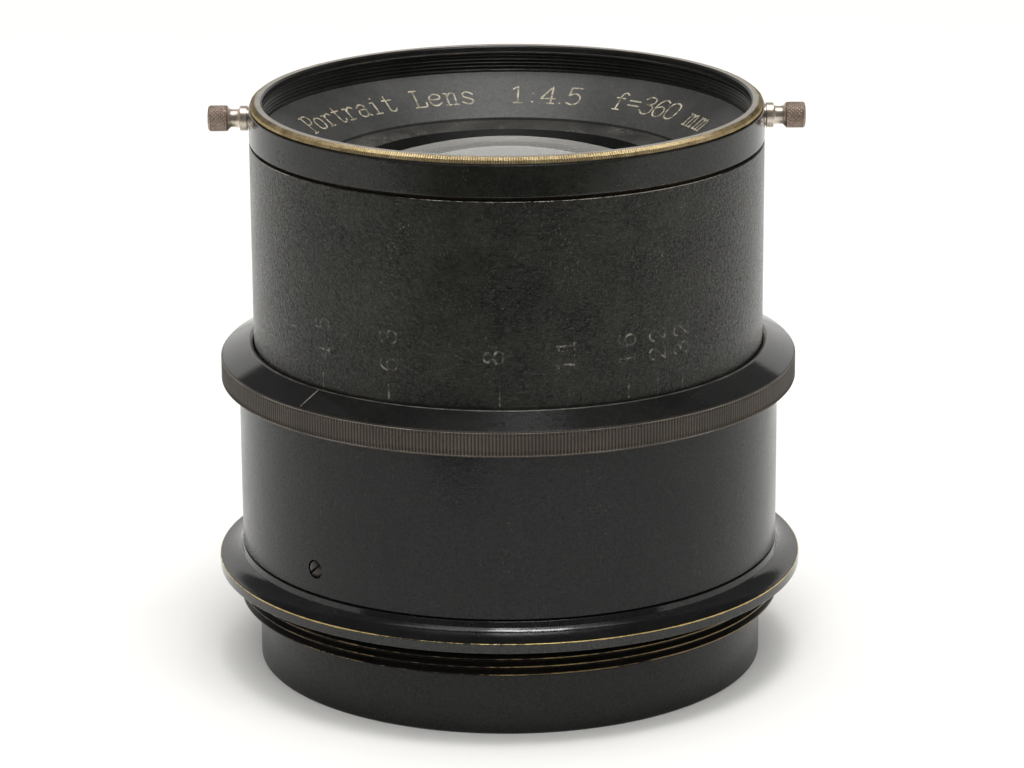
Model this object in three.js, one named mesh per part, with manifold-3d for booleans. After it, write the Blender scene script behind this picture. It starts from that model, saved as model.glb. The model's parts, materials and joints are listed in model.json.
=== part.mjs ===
// A large soft-focus portrait lens in a barrel, standing on its rear end.
// Millimetres, +Z up along the optical axis, z = 0 on the surface that it stands on.
// Azimuths are in degrees, counted from the front (-Y) towards the right (+X).
import * as THREE from "three";
import { mergeVertices } from "three/addons/utils/BufferGeometryUtils.js";
import Module from "manifold-3d";

const wasm = await Module();
wasm.setup();

const FACETS = 36;
const PIN_FACETS = 12;
const FINE_PIN_FACETS = 8;
const GAP = 0.3;
const CUT_MARGIN = 1;

const lens = new THREE.Group();
lens.name = "portrait_lens";

const paint = (colour, metalness, roughness) =>
  new THREE.MeshStandardMaterial({ color: colour, metalness, roughness });
const BLACK_PAINT = paint(0x26241f, 0.3, 0.55);
const SATIN_PAINT = paint(0x2e2e2c, 0.3, 0.45);
const BARE_BRASS = paint(0x9a8458, 0.9, 0.4);
const DARK_BRASS = paint(0x3a3328, 0.8, 0.5);
const STEEL = paint(0x8d8b86, 0.9, 0.4);
const BLADE_STEEL = paint(0x2b2d30, 0.8, 0.5);
const GLASS = paint(0xb9c0bf, 0.0, 0.08);

// ---- shapes ----

const radians = (degrees) => (degrees * Math.PI) / 180;

// The point at a radius and an azimuth.
function polar(radius, azimuth) {
  return [radius * Math.sin(radians(azimuth)), -radius * Math.cos(radians(azimuth))];
}

// Turned about the lens axis from [radius, height] corners, listed anticlockwise with the radius to
// the right. A profile that starts on the axis also ends there.
function turned(corners) {
  const points = corners.map(([radius, height]) => new THREE.Vector2(radius, height));
  if (corners[0][0] > 0) points.push(points[0].clone());
  return new THREE.LatheGeometry(points, FACETS).rotateX(Math.PI / 2);
}

// A cylinder that points outwards along an azimuth.
function radialPin(radius, from, to, height, azimuth, facets = PIN_FACETS) {
  const [x, y] = polar((from + to) / 2, azimuth);
  return new THREE.CylinderGeometry(radius, radius, to - from, facets)
    .rotateZ(-Math.PI / 2)
    .rotateZ(radians(azimuth - 90))
    .translate(x, y, height);
}

// A plate of a given outline, from one height to another.
function plate(outline, from, to) {
  const shape = new THREE.Shape(outline.map(([x, y]) => new THREE.Vector2(x, y)));
  const depth = to - from;
  return new THREE.ExtrudeGeometry(shape, { depth, bevelEnabled: false }).translate(0, 0, from);
}

// The outline that keeps a set distance from a path of points, with squared ends.
function outlineAlong(path, halfWidth) {
  const left = [];
  const right = [];
  path.forEach(([x, y], index) => {
    const before = path[Math.max(index - 1, 0)];
    const after = path[Math.min(index + 1, path.length - 1)];
    const length = Math.hypot(after[0] - before[0], after[1] - before[1]);
    const along = [(after[0] - before[0]) / length, (after[1] - before[1]) / length];
    const end = index === 0 ? -halfWidth : index === path.length - 1 ? halfWidth : 0;
    const centre = [x + along[0] * end, y + along[1] * end];
    left.push([centre[0] - along[1] * halfWidth, centre[1] + along[0] * halfWidth]);
    right.push([centre[0] + along[1] * halfWidth, centre[1] - along[0] * halfWidth]);
  });
  return [...right, ...left.reverse()];
}

// Slot cutters wrapped round the axis, one for each step of a path in degrees of azimuth and mm of
// height.
function wrappedSlot(path, halfWidth, innerRadius, outerRadius) {
  const middle = (innerRadius + outerRadius) / 2;
  const flat = path.map(([azimuth, height]) => [radians(azimuth) * middle, height]);
  return flat.slice(1).map((end, step) => {
    const outline = outlineAlong([flat[step], end], halfWidth);
    const cutter = plate(outline, innerRadius, outerRadius);
    const position = cutter.getAttribute("position");
    for (let i = 0; i < position.count; i += 1) {
      const angle = position.getX(i) / middle;
      const radius = position.getZ(i);
      const height = position.getY(i);
      position.setXYZ(i, radius * Math.sin(angle), -radius * Math.cos(angle), height);
    }
    return cutter;
  });
}

// Turns a geometry into a solid that can be joined or cut.
function solid(geometry) {
  const bare = geometry.clone();
  bare.deleteAttribute("normal");
  bare.deleteAttribute("uv");
  const merged = mergeVertices(bare, 1e-4);
  return new wasm.Manifold(
    new wasm.Mesh({
      numProp: 3,
      vertProperties: merged.getAttribute("position").array,
      triVerts: new Uint32Array(merged.index.array),
    }),
  );
}

// Turns a joined or cut solid back into a geometry.
function geometryOf(made) {
  const mesh = made.getMesh();
  const geometry = new THREE.BufferGeometry();
  geometry.setAttribute("position", new THREE.BufferAttribute(mesh.vertProperties, 3));
  geometry.setIndex(new THREE.BufferAttribute(mesh.triVerts, 1));
  geometry.computeVertexNormals();
  return geometry;
}

function cut(geometry, cutters) {
  return geometryOf(cutters.reduce((left, cutter) => left.subtract(solid(cutter)), solid(geometry)));
}

function joined(geometries) {
  return geometryOf(geometries.map(solid).reduce((whole, piece) => whole.add(piece)));
}

function add(name, geometry, material) {
  const mesh = new THREE.Mesh(geometry, material);
  mesh.name = name;
  lens.add(mesh);
}

// Evenly spaced points of an arc of an optical surface, from the axis outwards. A positive radius
// of curvature bulges up.
function surface(apex, curvature, edge, steps = 4) {
  const size = Math.abs(curvature);
  return Array.from({ length: steps + 1 }, (_, step) => {
    const radius = (edge * step) / steps;
    const sag = size - Math.sqrt(size * size - radius * radius);
    return [radius, apex - Math.sign(curvature) * sag];
  });
}

// A lens element between a lower and an upper surface.
function element(lower, upper) {
  return turned([...lower, ...upper.reverse()]);
}

// ---- rear end, thread and flange ----

const LOCK_SCREW = {
  height: 41,
  radius: 2.25,
  hole: 2.6,
  inner: 66,
  outer: 74.0,
  slot: 0.7,
  slotTurn: 40,
};
const LOCK_SCREW_AZIMUTHS = [-44.4, 135.6];

const REAR = { radius: 69.8, bore: 63.5, edge: 0.5, top: 18.0, neck: 68.5, neckTop: 48 };
const rearRing = turned([
  [REAR.bore, 0],
  [REAR.radius - REAR.edge, 0],
  [REAR.radius, REAR.edge],
  [REAR.radius, REAR.top],
  [REAR.neck, REAR.top],
  [REAR.neck, REAR.neckTop],
  [REAR.bore, REAR.neckTop],
]);

const SLEEVE_BORE = 68.9;
const THREAD = {
  bottom: 18.3,
  firstCrest: 18.8,
  pitch: 2.2,
  crest: 74.9,
  root: 73.5,
  turns: 3,
  relief: 72.3,
  top: 26.5,
};
const threadCorners = [
  [SLEEVE_BORE, THREAD.bottom],
  [THREAD.root, THREAD.bottom],
];
for (let turn = 0; turn < THREAD.turns; turn += 1) {
  const crestHeight = THREAD.firstCrest + turn * THREAD.pitch;
  threadCorners.push([THREAD.crest, crestHeight]);
  threadCorners.push([THREAD.root, crestHeight + THREAD.pitch / 2]);
}
const reliefBottom = THREAD.bottom + THREAD.turns * THREAD.pitch;
threadCorners.push([THREAD.relief, reliefBottom]);
threadCorners.push([THREAD.relief, THREAD.top]);
threadCorners.push([SLEEVE_BORE, THREAD.top]);
add("mount_thread_sleeve", turned(threadCorners), DARK_BRASS);

const FLANGE = {
  radius: 80.74,
  bottom: 26.84,
  seatBore: 75.4,
  undercut: 0.4,
  lipTop: 29.58,
  root: 74.3,
  top: 33.5,
  coveSteps: 4,
};
const flangeCorners = [
  [SLEEVE_BORE, FLANGE.bottom + FLANGE.undercut],
  [FLANGE.seatBore, FLANGE.bottom + FLANGE.undercut],
  [FLANGE.seatBore, FLANGE.bottom],
  [FLANGE.radius, FLANGE.bottom],
];
for (let step = 0; step <= FLANGE.coveSteps; step += 1) {
  const turn = (step / FLANGE.coveSteps) * (Math.PI / 2);
  flangeCorners.push([
    FLANGE.radius - (FLANGE.radius - FLANGE.root) * Math.sin(turn),
    FLANGE.top - (FLANGE.top - FLANGE.lipTop) * Math.cos(turn),
  ]);
}
flangeCorners.push([SLEEVE_BORE, FLANGE.top]);
add("flange_collar", turned(flangeCorners), SATIN_PAINT);

// ---- barrels ----

const LOWER = { radius: 74.2, bottom: 33.9, top: 79.8, neckBore: 68.9, neckTop: 50, bore: 70.9 };
const lowerBarrel = turned([
  [LOWER.neckBore, LOWER.bottom],
  [LOWER.radius, LOWER.bottom],
  [LOWER.radius, LOWER.top],
  [LOWER.bore, LOWER.top],
  [LOWER.bore, LOWER.neckTop],
  [LOWER.neckBore, LOWER.neckTop],
]);

const screwHoles = LOCK_SCREW_AZIMUTHS.map((azimuth) =>
  radialPin(
    LOCK_SCREW.hole,
    LOCK_SCREW.inner - GAP,
    LOWER.radius + CUT_MARGIN,
    LOCK_SCREW.height,
    azimuth,
  ),
);
add("rear_ring", cut(rearRing, screwHoles), BLACK_PAINT);
add("lower_barrel", cut(lowerBarrel, screwHoles), SATIN_PAINT);

LOCK_SCREW_AZIMUTHS.forEach((azimuth, index) => {
  const { radius, inner, outer, height, slot, slotTurn } = LOCK_SCREW;
  const [x, y] = polar(outer, azimuth);
  const driverSlot = new THREE.BoxGeometry(2 * slot, 3 * radius, slot)
    .rotateX(radians(slotTurn))
    .rotateZ(radians(azimuth - 90))
    .translate(x, y, height);
  const screw = radialPin(radius, inner, outer, height, azimuth);
  add(`lock_screw_${index + 1}`, cut(screw, [driverSlot]), STEEL);
});

const APERTURE_TRAVEL = 85.1;
const DRIVE_PIN = {
  azimuth: 120,
  height: 84.8,
  radius: 1.5,
  hole: 1.85,
  play: 0.6,
  inner: 65.1,
  outer: 78.5,
};

const UPPER = {
  radius: 70.0,
  skirt: 70.5,
  bottom: 60,
  skirtTop: 79.4,
  top: 146.06,
  bore: 68.2,
  shoulder: 66.5,
  shoulderTop: 71.7,
};
const upperBarrel = turned([
  [UPPER.shoulder, UPPER.bottom],
  [UPPER.skirt, UPPER.bottom],
  [UPPER.skirt, UPPER.skirtTop],
  [UPPER.radius, UPPER.skirtTop],
  [UPPER.radius, UPPER.top],
  [UPPER.bore, UPPER.top],
  [UPPER.bore, UPPER.shoulderTop],
  [UPPER.shoulder, UPPER.shoulderTop],
]);
const SLOT_STEPS = 10;
const drivePath = Array.from({ length: SLOT_STEPS + 1 }, (_, step) => [
  DRIVE_PIN.azimuth + (APERTURE_TRAVEL * step) / SLOT_STEPS,
  DRIVE_PIN.height,
]);
const driveSlot = wrappedSlot(
  drivePath,
  DRIVE_PIN.radius + DRIVE_PIN.play,
  UPPER.bore - CUT_MARGIN,
  UPPER.radius + CUT_MARGIN,
);
add("upper_barrel", cut(upperBarrel, driveSlot), BLACK_PAINT);

// ---- aperture ring and iris ----

const APERTURE = {
  bore: 70.7,
  radius: 79.08,
  bottom: 80.1,
  edge: 0.45,
  knurlTop: 87.19,
  topRadius: 71.2,
  top: 90.67,
};
const drivePinHole = radialPin(
  DRIVE_PIN.hole,
  DRIVE_PIN.inner - CUT_MARGIN,
  APERTURE.radius + CUT_MARGIN,
  DRIVE_PIN.height,
  DRIVE_PIN.azimuth,
);
const apertureRing = turned([
  [APERTURE.bore, APERTURE.bottom],
  [APERTURE.radius - APERTURE.edge, APERTURE.bottom],
  [APERTURE.radius, APERTURE.bottom + APERTURE.edge],
  [APERTURE.radius, APERTURE.knurlTop - APERTURE.edge],
  [APERTURE.radius - APERTURE.edge, APERTURE.knurlTop],
  [APERTURE.topRadius, APERTURE.top],
  [APERTURE.bore, APERTURE.top - GAP],
]);
add("aperture_ring", cut(apertureRing, [drivePinHole]), BLACK_PAINT);
add(
  "aperture_drive_pin",
  radialPin(DRIVE_PIN.radius, DRIVE_PIN.inner, DRIVE_PIN.outer, DRIVE_PIN.height, DRIVE_PIN.azimuth),
  STEEL,
);

// Each blade turns on its own pivot, and the ring's slots push a second pin at the blade's far end.
// The blades slope up from pivot to far end, so that each lies over the next one.
const BLADES = 8;
const BLADE = {
  pivotRadius: 62,
  innerRadius: 41.2,
  outerRadius: 60,
  span: 120,
  thickness: 0.1,
  slope: 0.06,
  slopeTurn: 10,
  base: 73.95,
  lobe: 2.6,
  pin: 0.9,
  travel: 33.2,
};
const PIVOT_HOLE = 1.25;
const CAM_SLOT = 1.3;
const EDGE_STEPS = 12;
const LOBE_TURNS = [60, 0, -60];
const LOBE_MARGIN = 4;
const arcPoints = (radius, from, to, steps) =>
  Array.from({ length: steps + 1 }, (_, step) => polar(radius, from + ((to - from) * step) / steps));

// The rounded end of a blade around one of its pins.
function lobeAround(azimuth) {
  const [x, y] = polar(BLADE.pivotRadius, azimuth);
  return LOBE_TURNS.map((turn) => {
    const [dx, dy] = polar(BLADE.lobe, azimuth + turn);
    return [x + dx, y + dy];
  });
}

const bladeOutline = [
  ...arcPoints(BLADE.innerRadius, BLADE.span, 0, EDGE_STEPS),
  ...lobeAround(0).reverse(),
  ...arcPoints(BLADE.outerRadius, LOBE_MARGIN, BLADE.span - LOBE_MARGIN, EDGE_STEPS),
  ...lobeAround(BLADE.span).reverse(),
];
const pivotPoint = polar(BLADE.pivotRadius, 0);
const camPoint = polar(BLADE.pivotRadius, BLADE.span);
const reach = Math.hypot(camPoint[0] - pivotPoint[0], camPoint[1] - pivotPoint[1]);
const slopeAngle =
  Math.atan2(camPoint[1] - pivotPoint[1], camPoint[0] - pivotPoint[0]) + radians(BLADE.slopeTurn);
const uphill = [Math.cos(slopeAngle), Math.sin(slopeAngle)];
const camRise = reach * Math.cos(radians(BLADE.slopeTurn)) * BLADE.slope;

const BASE_PLATE = { bore: 41.5, radius: 67.8, bottom: 72, top: 73.5 };
const SLOT_RING = {
  bore: 42,
  radius: 66.8,
  bottom: 80.9,
  plateTop: 82.5,
  rimBore: 64.9,
  rimTop: 87.3,
};

function blade() {
  const sheet = plate(bladeOutline, 0, BLADE.thickness);
  const position = sheet.getAttribute("position");
  for (let i = 0; i < position.count; i += 1) {
    const along =
      (position.getX(i) - pivotPoint[0]) * uphill[0] + (position.getY(i) - pivotPoint[1]) * uphill[1];
    position.setZ(i, position.getZ(i) + BLADE.base + along * BLADE.slope);
  }
  const pin = (from, to, [x, y]) =>
    new THREE.CylinderGeometry(BLADE.pin, BLADE.pin, to - from, FINE_PIN_FACETS)
      .rotateX(Math.PI / 2)
      .translate(x, y, (from + to) / 2);
  const camBase = BLADE.base + camRise;
  const pivotPin = pin(BASE_PLATE.bottom + GAP, BLADE.base + BLADE.thickness / 2, pivotPoint);
  const camPin = pin(camBase + BLADE.thickness / 2, SLOT_RING.plateTop - GAP, camPoint);
  return joined([sheet, pivotPin, camPin]);
}

for (let index = 0; index < BLADES; index += 1) {
  const turn = radians((360 / BLADES) * index);
  const name = `iris_blade_${String(index + 1).padStart(2, "0")}`;
  add(name, blade().rotateZ(turn), BLADE_STEEL);
}

const pivotHoles = Array.from({ length: BLADES }, (_, index) => {
  const [x, y] = polar(BLADE.pivotRadius, (360 / BLADES) * index);
  const depth = BASE_PLATE.top - BASE_PLATE.bottom + 2 * CUT_MARGIN;
  return new THREE.CylinderGeometry(PIVOT_HOLE, PIVOT_HOLE, depth, FINE_PIN_FACETS)
    .rotateX(Math.PI / 2)
    .translate(x, y, (BASE_PLATE.bottom + BASE_PLATE.top) / 2);
});
const basePlate = turned([
  [BASE_PLATE.bore, BASE_PLATE.bottom],
  [BASE_PLATE.radius, BASE_PLATE.bottom],
  [BASE_PLATE.radius, BASE_PLATE.top],
  [BASE_PLATE.bore, BASE_PLATE.top],
]);
add("iris_base_plate", cut(basePlate, pivotHoles), DARK_BRASS);

// The path of a blade's far pin, as seen from the turning slot ring.
const CAM_STEPS = 6;
const camPath = Array.from({ length: CAM_STEPS + 1 }, (_, step) => {
  const share = step / CAM_STEPS;
  const bladeTurn = radians(BLADE.travel * share);
  const ringTurn = radians(-APERTURE_TRAVEL * share);
  const offset = [camPoint[0] - pivotPoint[0], camPoint[1] - pivotPoint[1]];
  const x = pivotPoint[0] + offset[0] * Math.cos(bladeTurn) - offset[1] * Math.sin(bladeTurn);
  const y = pivotPoint[1] + offset[0] * Math.sin(bladeTurn) + offset[1] * Math.cos(bladeTurn);
  return [
    x * Math.cos(ringTurn) - y * Math.sin(ringTurn),
    x * Math.sin(ringTurn) + y * Math.cos(ringTurn),
  ];
});
const slotRing = turned([
  [SLOT_RING.bore, SLOT_RING.bottom],
  [SLOT_RING.radius, SLOT_RING.bottom],
  [SLOT_RING.radius, SLOT_RING.rimTop],
  [SLOT_RING.rimBore, SLOT_RING.rimTop],
  [SLOT_RING.rimBore, SLOT_RING.plateTop],
  [SLOT_RING.bore, SLOT_RING.plateTop],
]);
const camSlots = Array.from({ length: BLADES }, (_, index) =>
  plate(
    outlineAlong(camPath, CAM_SLOT),
    SLOT_RING.bottom - CUT_MARGIN,
    SLOT_RING.plateTop + GAP,
  ).rotateZ(radians((360 / BLADES) * index)),
);
add("iris_slot_ring", cut(slotRing, [...camSlots, drivePinHole]), DARK_BRASS);

// ---- rear cell ----

const REAR_GLASS = { edge: 38, rearApex: 7, rearCurve: 120, joinApex: 24.1, joinCurve: 150, top: 30.2 };
const REAR_CELL = {
  radius: 63.1,
  bottom: 3,
  rimTop: 12,
  ringBore: 42.2,
  seat: 13,
  bore: 38.3,
  wall: 42,
  shoulder: 46,
  shoulderHeight: 16,
  wallBottom: 22,
  ledge: 34.8,
  ledgeBottom: 30.5,
  top: 33,
};
add(
  "rear_cell",
  turned([
    [REAR_CELL.ringBore, REAR_CELL.bottom],
    [REAR_CELL.radius, REAR_CELL.bottom],
    [REAR_CELL.radius, REAR_CELL.rimTop],
    [REAR_CELL.shoulder, REAR_CELL.shoulderHeight],
    [REAR_CELL.wall, REAR_CELL.wallBottom],
    [REAR_CELL.wall, REAR_CELL.top],
    [REAR_CELL.ledge, REAR_CELL.top],
    [REAR_CELL.ledge, REAR_CELL.ledgeBottom],
    [REAR_CELL.bore, REAR_CELL.ledgeBottom],
    [REAR_CELL.bore, REAR_CELL.seat],
    [REAR_CELL.ringBore, REAR_CELL.seat],
  ]),
  BLACK_PAINT,
);
add(
  "rear_crown_element",
  element(
    surface(REAR_GLASS.rearApex, -REAR_GLASS.rearCurve, REAR_GLASS.edge),
    surface(REAR_GLASS.joinApex, REAR_GLASS.joinCurve, REAR_GLASS.edge),
  ),
  GLASS,
);
add(
  "rear_flint_element",
  element(surface(REAR_GLASS.joinApex + GAP, REAR_GLASS.joinCurve, REAR_GLASS.edge), [
    [0, REAR_GLASS.top],
    [REAR_GLASS.edge, REAR_GLASS.top],
  ]),
  GLASS,
);
const REAR_KEEPER = {
  radius: 41.9,
  bottom: 4,
  bottomBore: 37.5,
  top: 12.6,
  topBore: 38.8,
  lip: 36,
  lipBottom: 8.5,
  lipTop: 11.8,
};
add(
  "rear_retaining_ring",
  turned([
    [REAR_KEEPER.lip, REAR_KEEPER.lipBottom],
    [REAR_KEEPER.bottomBore, REAR_KEEPER.bottom],
    [REAR_KEEPER.radius, REAR_KEEPER.bottom],
    [REAR_KEEPER.radius, REAR_KEEPER.top],
    [REAR_KEEPER.topBore, REAR_KEEPER.top],
    [REAR_KEEPER.lip, REAR_KEEPER.lipTop],
  ]),
  BLACK_PAINT,
);

// ---- soft-focus ring and the middle element that it moves ----

const FOCUS_TRAVEL = 75;
const FOCUS_LIFT = 6;
const GUIDE = {
  bore: 63.4,
  radius: 65.6,
  flange: 67.9,
  bottom: 88,
  flangeTop: 91,
  top: 146,
};
const GUIDE_PIN = { radius: 2, inner: 59.8, outer: 67.6, height: 98, play: 0.4 };
const GUIDE_PIN_AZIMUTHS = [30, 150, 270];

const guideSlots = GUIDE_PIN_AZIMUTHS.map((azimuth) => {
  const width = 2 * (GUIDE_PIN.radius + GUIDE_PIN.play);
  const [x, y] = polar(GUIDE.radius, azimuth);
  const depth = 2 * (GUIDE.radius - GUIDE.bore + CUT_MARGIN);
  return new THREE.BoxGeometry(depth, width, FOCUS_LIFT + width)
    .rotateZ(radians(azimuth - 90))
    .translate(x, y, GUIDE_PIN.height + FOCUS_LIFT / 2);
});
const guideTube = turned([
  [GUIDE.bore, GUIDE.bottom],
  [GUIDE.flange, GUIDE.bottom],
  [GUIDE.flange, GUIDE.flangeTop],
  [GUIDE.radius, GUIDE.flangeTop],
  [GUIDE.radius, GUIDE.top],
  [GUIDE.bore, GUIDE.top],
]);
add("guide_tube", cut(guideTube, guideSlots), DARK_BRASS);

const SLEEVE = { bore: 66.0, radius: 67.8, bottom: 92.3, top: 146.75 };
const helixSlots = GUIDE_PIN_AZIMUTHS.flatMap((azimuth) => {
  const path = Array.from({ length: SLOT_STEPS + 1 }, (_, step) => {
    const share = step / SLOT_STEPS;
    return [azimuth - FOCUS_TRAVEL * share, GUIDE_PIN.height + FOCUS_LIFT * share];
  }).reverse();
  return wrappedSlot(
    path,
    GUIDE_PIN.radius + GUIDE_PIN.play,
    SLEEVE.bore - CUT_MARGIN,
    SLEEVE.radius + CUT_MARGIN,
  );
});
const sleeve = turned([
  [SLEEVE.bore, SLEEVE.bottom],
  [SLEEVE.radius, SLEEVE.bottom],
  [SLEEVE.radius, SLEEVE.top],
  [SLEEVE.bore, SLEEVE.top],
]);
add("soft_focus_sleeve", cut(sleeve, helixSlots), DARK_BRASS);

const COLLAR = { radius: 70.0, bore: 68.1, webBore: 66.0, bottom: 147.05, webTop: 148.4, top: 155.6 };
const KNOB = {
  height: 152.2,
  stud: 1.1,
  studInner: 68.4,
  shoulder: 3.4,
  shoulderInner: 70.35,
  shoulderOuter: 72.2,
  neck: 2.4,
  headInner: 75.45,
  head: 3.53,
  headOuter: 81.2,
  chamfer: 0.6,
};
const KNOB_AZIMUTHS = { knob_right: 90, knob_left: 270 };
const frontCollar = turned([
  [COLLAR.webBore, COLLAR.bottom],
  [COLLAR.radius, COLLAR.bottom],
  [COLLAR.radius, COLLAR.top],
  [COLLAR.bore, COLLAR.top],
  [COLLAR.bore, COLLAR.webTop],
  [COLLAR.webBore, COLLAR.webTop],
]);
const studHoles = Object.values(KNOB_AZIMUTHS).map((azimuth) =>
  radialPin(
    KNOB.stud + GAP,
    COLLAR.bore - CUT_MARGIN,
    COLLAR.radius + CUT_MARGIN,
    KNOB.height,
    azimuth,
  ),
);
add("front_collar", cut(frontCollar, studHoles), BLACK_PAINT);

Object.entries(KNOB_AZIMUTHS).forEach(([name, azimuth]) => {
  const profile = [
    [0, KNOB.studInner],
    [KNOB.stud, KNOB.studInner],
    [KNOB.stud, KNOB.shoulderInner],
    [KNOB.shoulder, KNOB.shoulderInner],
    [KNOB.shoulder, KNOB.shoulderOuter - KNOB.chamfer],
    [KNOB.neck, KNOB.shoulderOuter],
    [KNOB.neck, KNOB.headInner],
    [KNOB.head - KNOB.chamfer, KNOB.headInner],
    [KNOB.head, KNOB.headInner + KNOB.chamfer],
    [KNOB.head, KNOB.headOuter - KNOB.chamfer],
    [KNOB.head - 2 * KNOB.chamfer, KNOB.headOuter],
    [0, KNOB.headOuter],
  ].map(([radius, along]) => new THREE.Vector2(radius, along));
  const knob = new THREE.LatheGeometry(profile, PIN_FACETS)
    .rotateZ(-Math.PI / 2)
    .rotateZ(radians(azimuth - 90))
    .translate(0, 0, KNOB.height);
  add(name, knob, STEEL);
});

const MIDDLE_GLASS = { edge: 39, lowerApex: 94.6, upperApex: 98.6, curve: 130 };
add(
  "middle_element",
  element(
    surface(MIDDLE_GLASS.lowerApex, MIDDLE_GLASS.curve, MIDDLE_GLASS.edge),
    surface(MIDDLE_GLASS.upperApex, -MIDDLE_GLASS.curve, MIDDLE_GLASS.edge),
  ),
  GLASS,
);
const MIDDLE = {
  radius: 63.0,
  rimBore: 59,
  rimBottom: 91.5,
  rimTop: 104.5,
  webBottom: 94,
  webTop: 99,
  hub: 42.5,
  bottom: 86.9,
  top: 106.6,
  bore: 39.3,
  ledge: 35.8,
  ledgeTop: 88.3,
};
const middleCell = turned([
  [MIDDLE.ledge, MIDDLE.bottom],
  [MIDDLE.hub, MIDDLE.bottom],
  [MIDDLE.hub, MIDDLE.webBottom],
  [MIDDLE.rimBore, MIDDLE.webBottom],
  [MIDDLE.rimBore, MIDDLE.rimBottom],
  [MIDDLE.radius, MIDDLE.rimBottom],
  [MIDDLE.radius, MIDDLE.rimTop],
  [MIDDLE.rimBore, MIDDLE.rimTop],
  [MIDDLE.rimBore, MIDDLE.webTop],
  [MIDDLE.hub, MIDDLE.webTop],
  [MIDDLE.hub, MIDDLE.top],
  [MIDDLE.bore, MIDDLE.top],
  [MIDDLE.bore, MIDDLE.ledgeTop],
  [MIDDLE.ledge, MIDDLE.ledgeTop],
]);
const guidePinHoles = GUIDE_PIN_AZIMUTHS.map((azimuth) =>
  radialPin(
    GUIDE_PIN.radius + GAP,
    GUIDE_PIN.inner - GAP,
    MIDDLE.radius + CUT_MARGIN,
    GUIDE_PIN.height,
    azimuth,
  ),
);
add("middle_cell", cut(middleCell, guidePinHoles), DARK_BRASS);
GUIDE_PIN_AZIMUTHS.forEach((azimuth, index) => {
  const { radius, inner, outer, height } = GUIDE_PIN;
  add(`guide_pin_${index + 1}`, radialPin(radius, inner, outer, height, azimuth), STEEL);
});
const MIDDLE_KEEPER = { bore: 36, radius: 39, bottom: 104.95, top: 106.4 };
add(
  "middle_retaining_ring",
  turned([
    [MIDDLE_KEEPER.bore, MIDDLE_KEEPER.bottom],
    [MIDDLE_KEEPER.radius, MIDDLE_KEEPER.bottom],
    [MIDDLE_KEEPER.radius, MIDDLE_KEEPER.top],
    [MIDDLE_KEEPER.bore, MIDDLE_KEEPER.top],
  ]),
  DARK_BRASS,
);

// ---- front cell ----

const FRONT_GLASS = {
  edge: 45,
  frontApex: 143.7,
  frontCurve: 112,
  joinApex: 123.2,
  joinCurve: 150,
  rear: 117,
};
add(
  "front_crown_element",
  element(
    surface(FRONT_GLASS.joinApex, -FRONT_GLASS.joinCurve, FRONT_GLASS.edge),
    surface(FRONT_GLASS.frontApex, FRONT_GLASS.frontCurve, FRONT_GLASS.edge),
  ),
  GLASS,
);
add(
  "front_flint_element",
  element(
    [
      [0, FRONT_GLASS.rear],
      [FRONT_GLASS.edge, FRONT_GLASS.rear],
    ],
    surface(FRONT_GLASS.joinApex - GAP, -FRONT_GLASS.joinCurve, FRONT_GLASS.edge),
  ),
  GLASS,
);
const FRONT_CELL = {
  ledge: 42,
  bottom: 114.5,
  ledgeTop: 116.7,
  bore: 45.3,
  hub: 49,
  hubTop: 126,
  skirtBore: 60.9,
  skirtRoof: 137.5,
  skirtBottom: 128,
  skirt: 63.1,
  stepBottom: 146.3,
  step: 65.7,
  wallBottom: 148.7,
  wall: 67.6,
  wallTop: 155.6,
  threadBore: 66.2,
  coneTop: 149.9,
  coneFoot: 51.8,
  coneBottom: 139.9,
  keeperSeat: 134.4,
};
add(
  "front_cell",
  turned([
    [FRONT_CELL.ledge, FRONT_CELL.bottom],
    [FRONT_CELL.hub, FRONT_CELL.bottom],
    [FRONT_CELL.hub, FRONT_CELL.hubTop],
    [FRONT_CELL.skirtBore, FRONT_CELL.skirtRoof],
    [FRONT_CELL.skirtBore, FRONT_CELL.skirtBottom],
    [FRONT_CELL.skirt, FRONT_CELL.skirtBottom],
    [FRONT_CELL.skirt, FRONT_CELL.stepBottom],
    [FRONT_CELL.step, FRONT_CELL.stepBottom],
    [FRONT_CELL.step, FRONT_CELL.wallBottom],
    [FRONT_CELL.wall, FRONT_CELL.wallBottom],
    [FRONT_CELL.wall, FRONT_CELL.wallTop],
    [FRONT_CELL.threadBore, FRONT_CELL.wallTop],
    [FRONT_CELL.threadBore, FRONT_CELL.coneTop],
    [FRONT_CELL.coneFoot, FRONT_CELL.coneBottom],
    [FRONT_CELL.coneFoot, FRONT_CELL.keeperSeat],
    [FRONT_CELL.bore, FRONT_CELL.keeperSeat],
    [FRONT_CELL.bore, FRONT_CELL.ledgeTop],
    [FRONT_CELL.ledge, FRONT_CELL.ledgeTop],
  ]),
  BLACK_PAINT,
);
const FRONT_KEEPER = {
  radius: 51.5,
  bottom: 134.7,
  top: 139.3,
  lip: 40,
  lipTop: 136.7,
  bevel: 42.4,
  bevelTop: 138.7,
};
add(
  "front_retaining_ring",
  turned([
    [FRONT_KEEPER.lip, FRONT_KEEPER.lipTop],
    [FRONT_GLASS.edge + GAP, FRONT_KEEPER.bottom],
    [FRONT_KEEPER.radius, FRONT_KEEPER.bottom],
    [FRONT_KEEPER.radius, FRONT_KEEPER.top],
    [FRONT_KEEPER.bevel, FRONT_KEEPER.bevelTop],
  ]),
  BLACK_PAINT,
);
const RIM = {
  bore: 66.3,
  radius: 69.5,
  bottom: 155.9,
  top: 157.58,
  edge: 0.2,
  bevelWidth: 1.0,
  bevelDrop: 0.75,
  mouth: 0.5,
};
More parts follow.
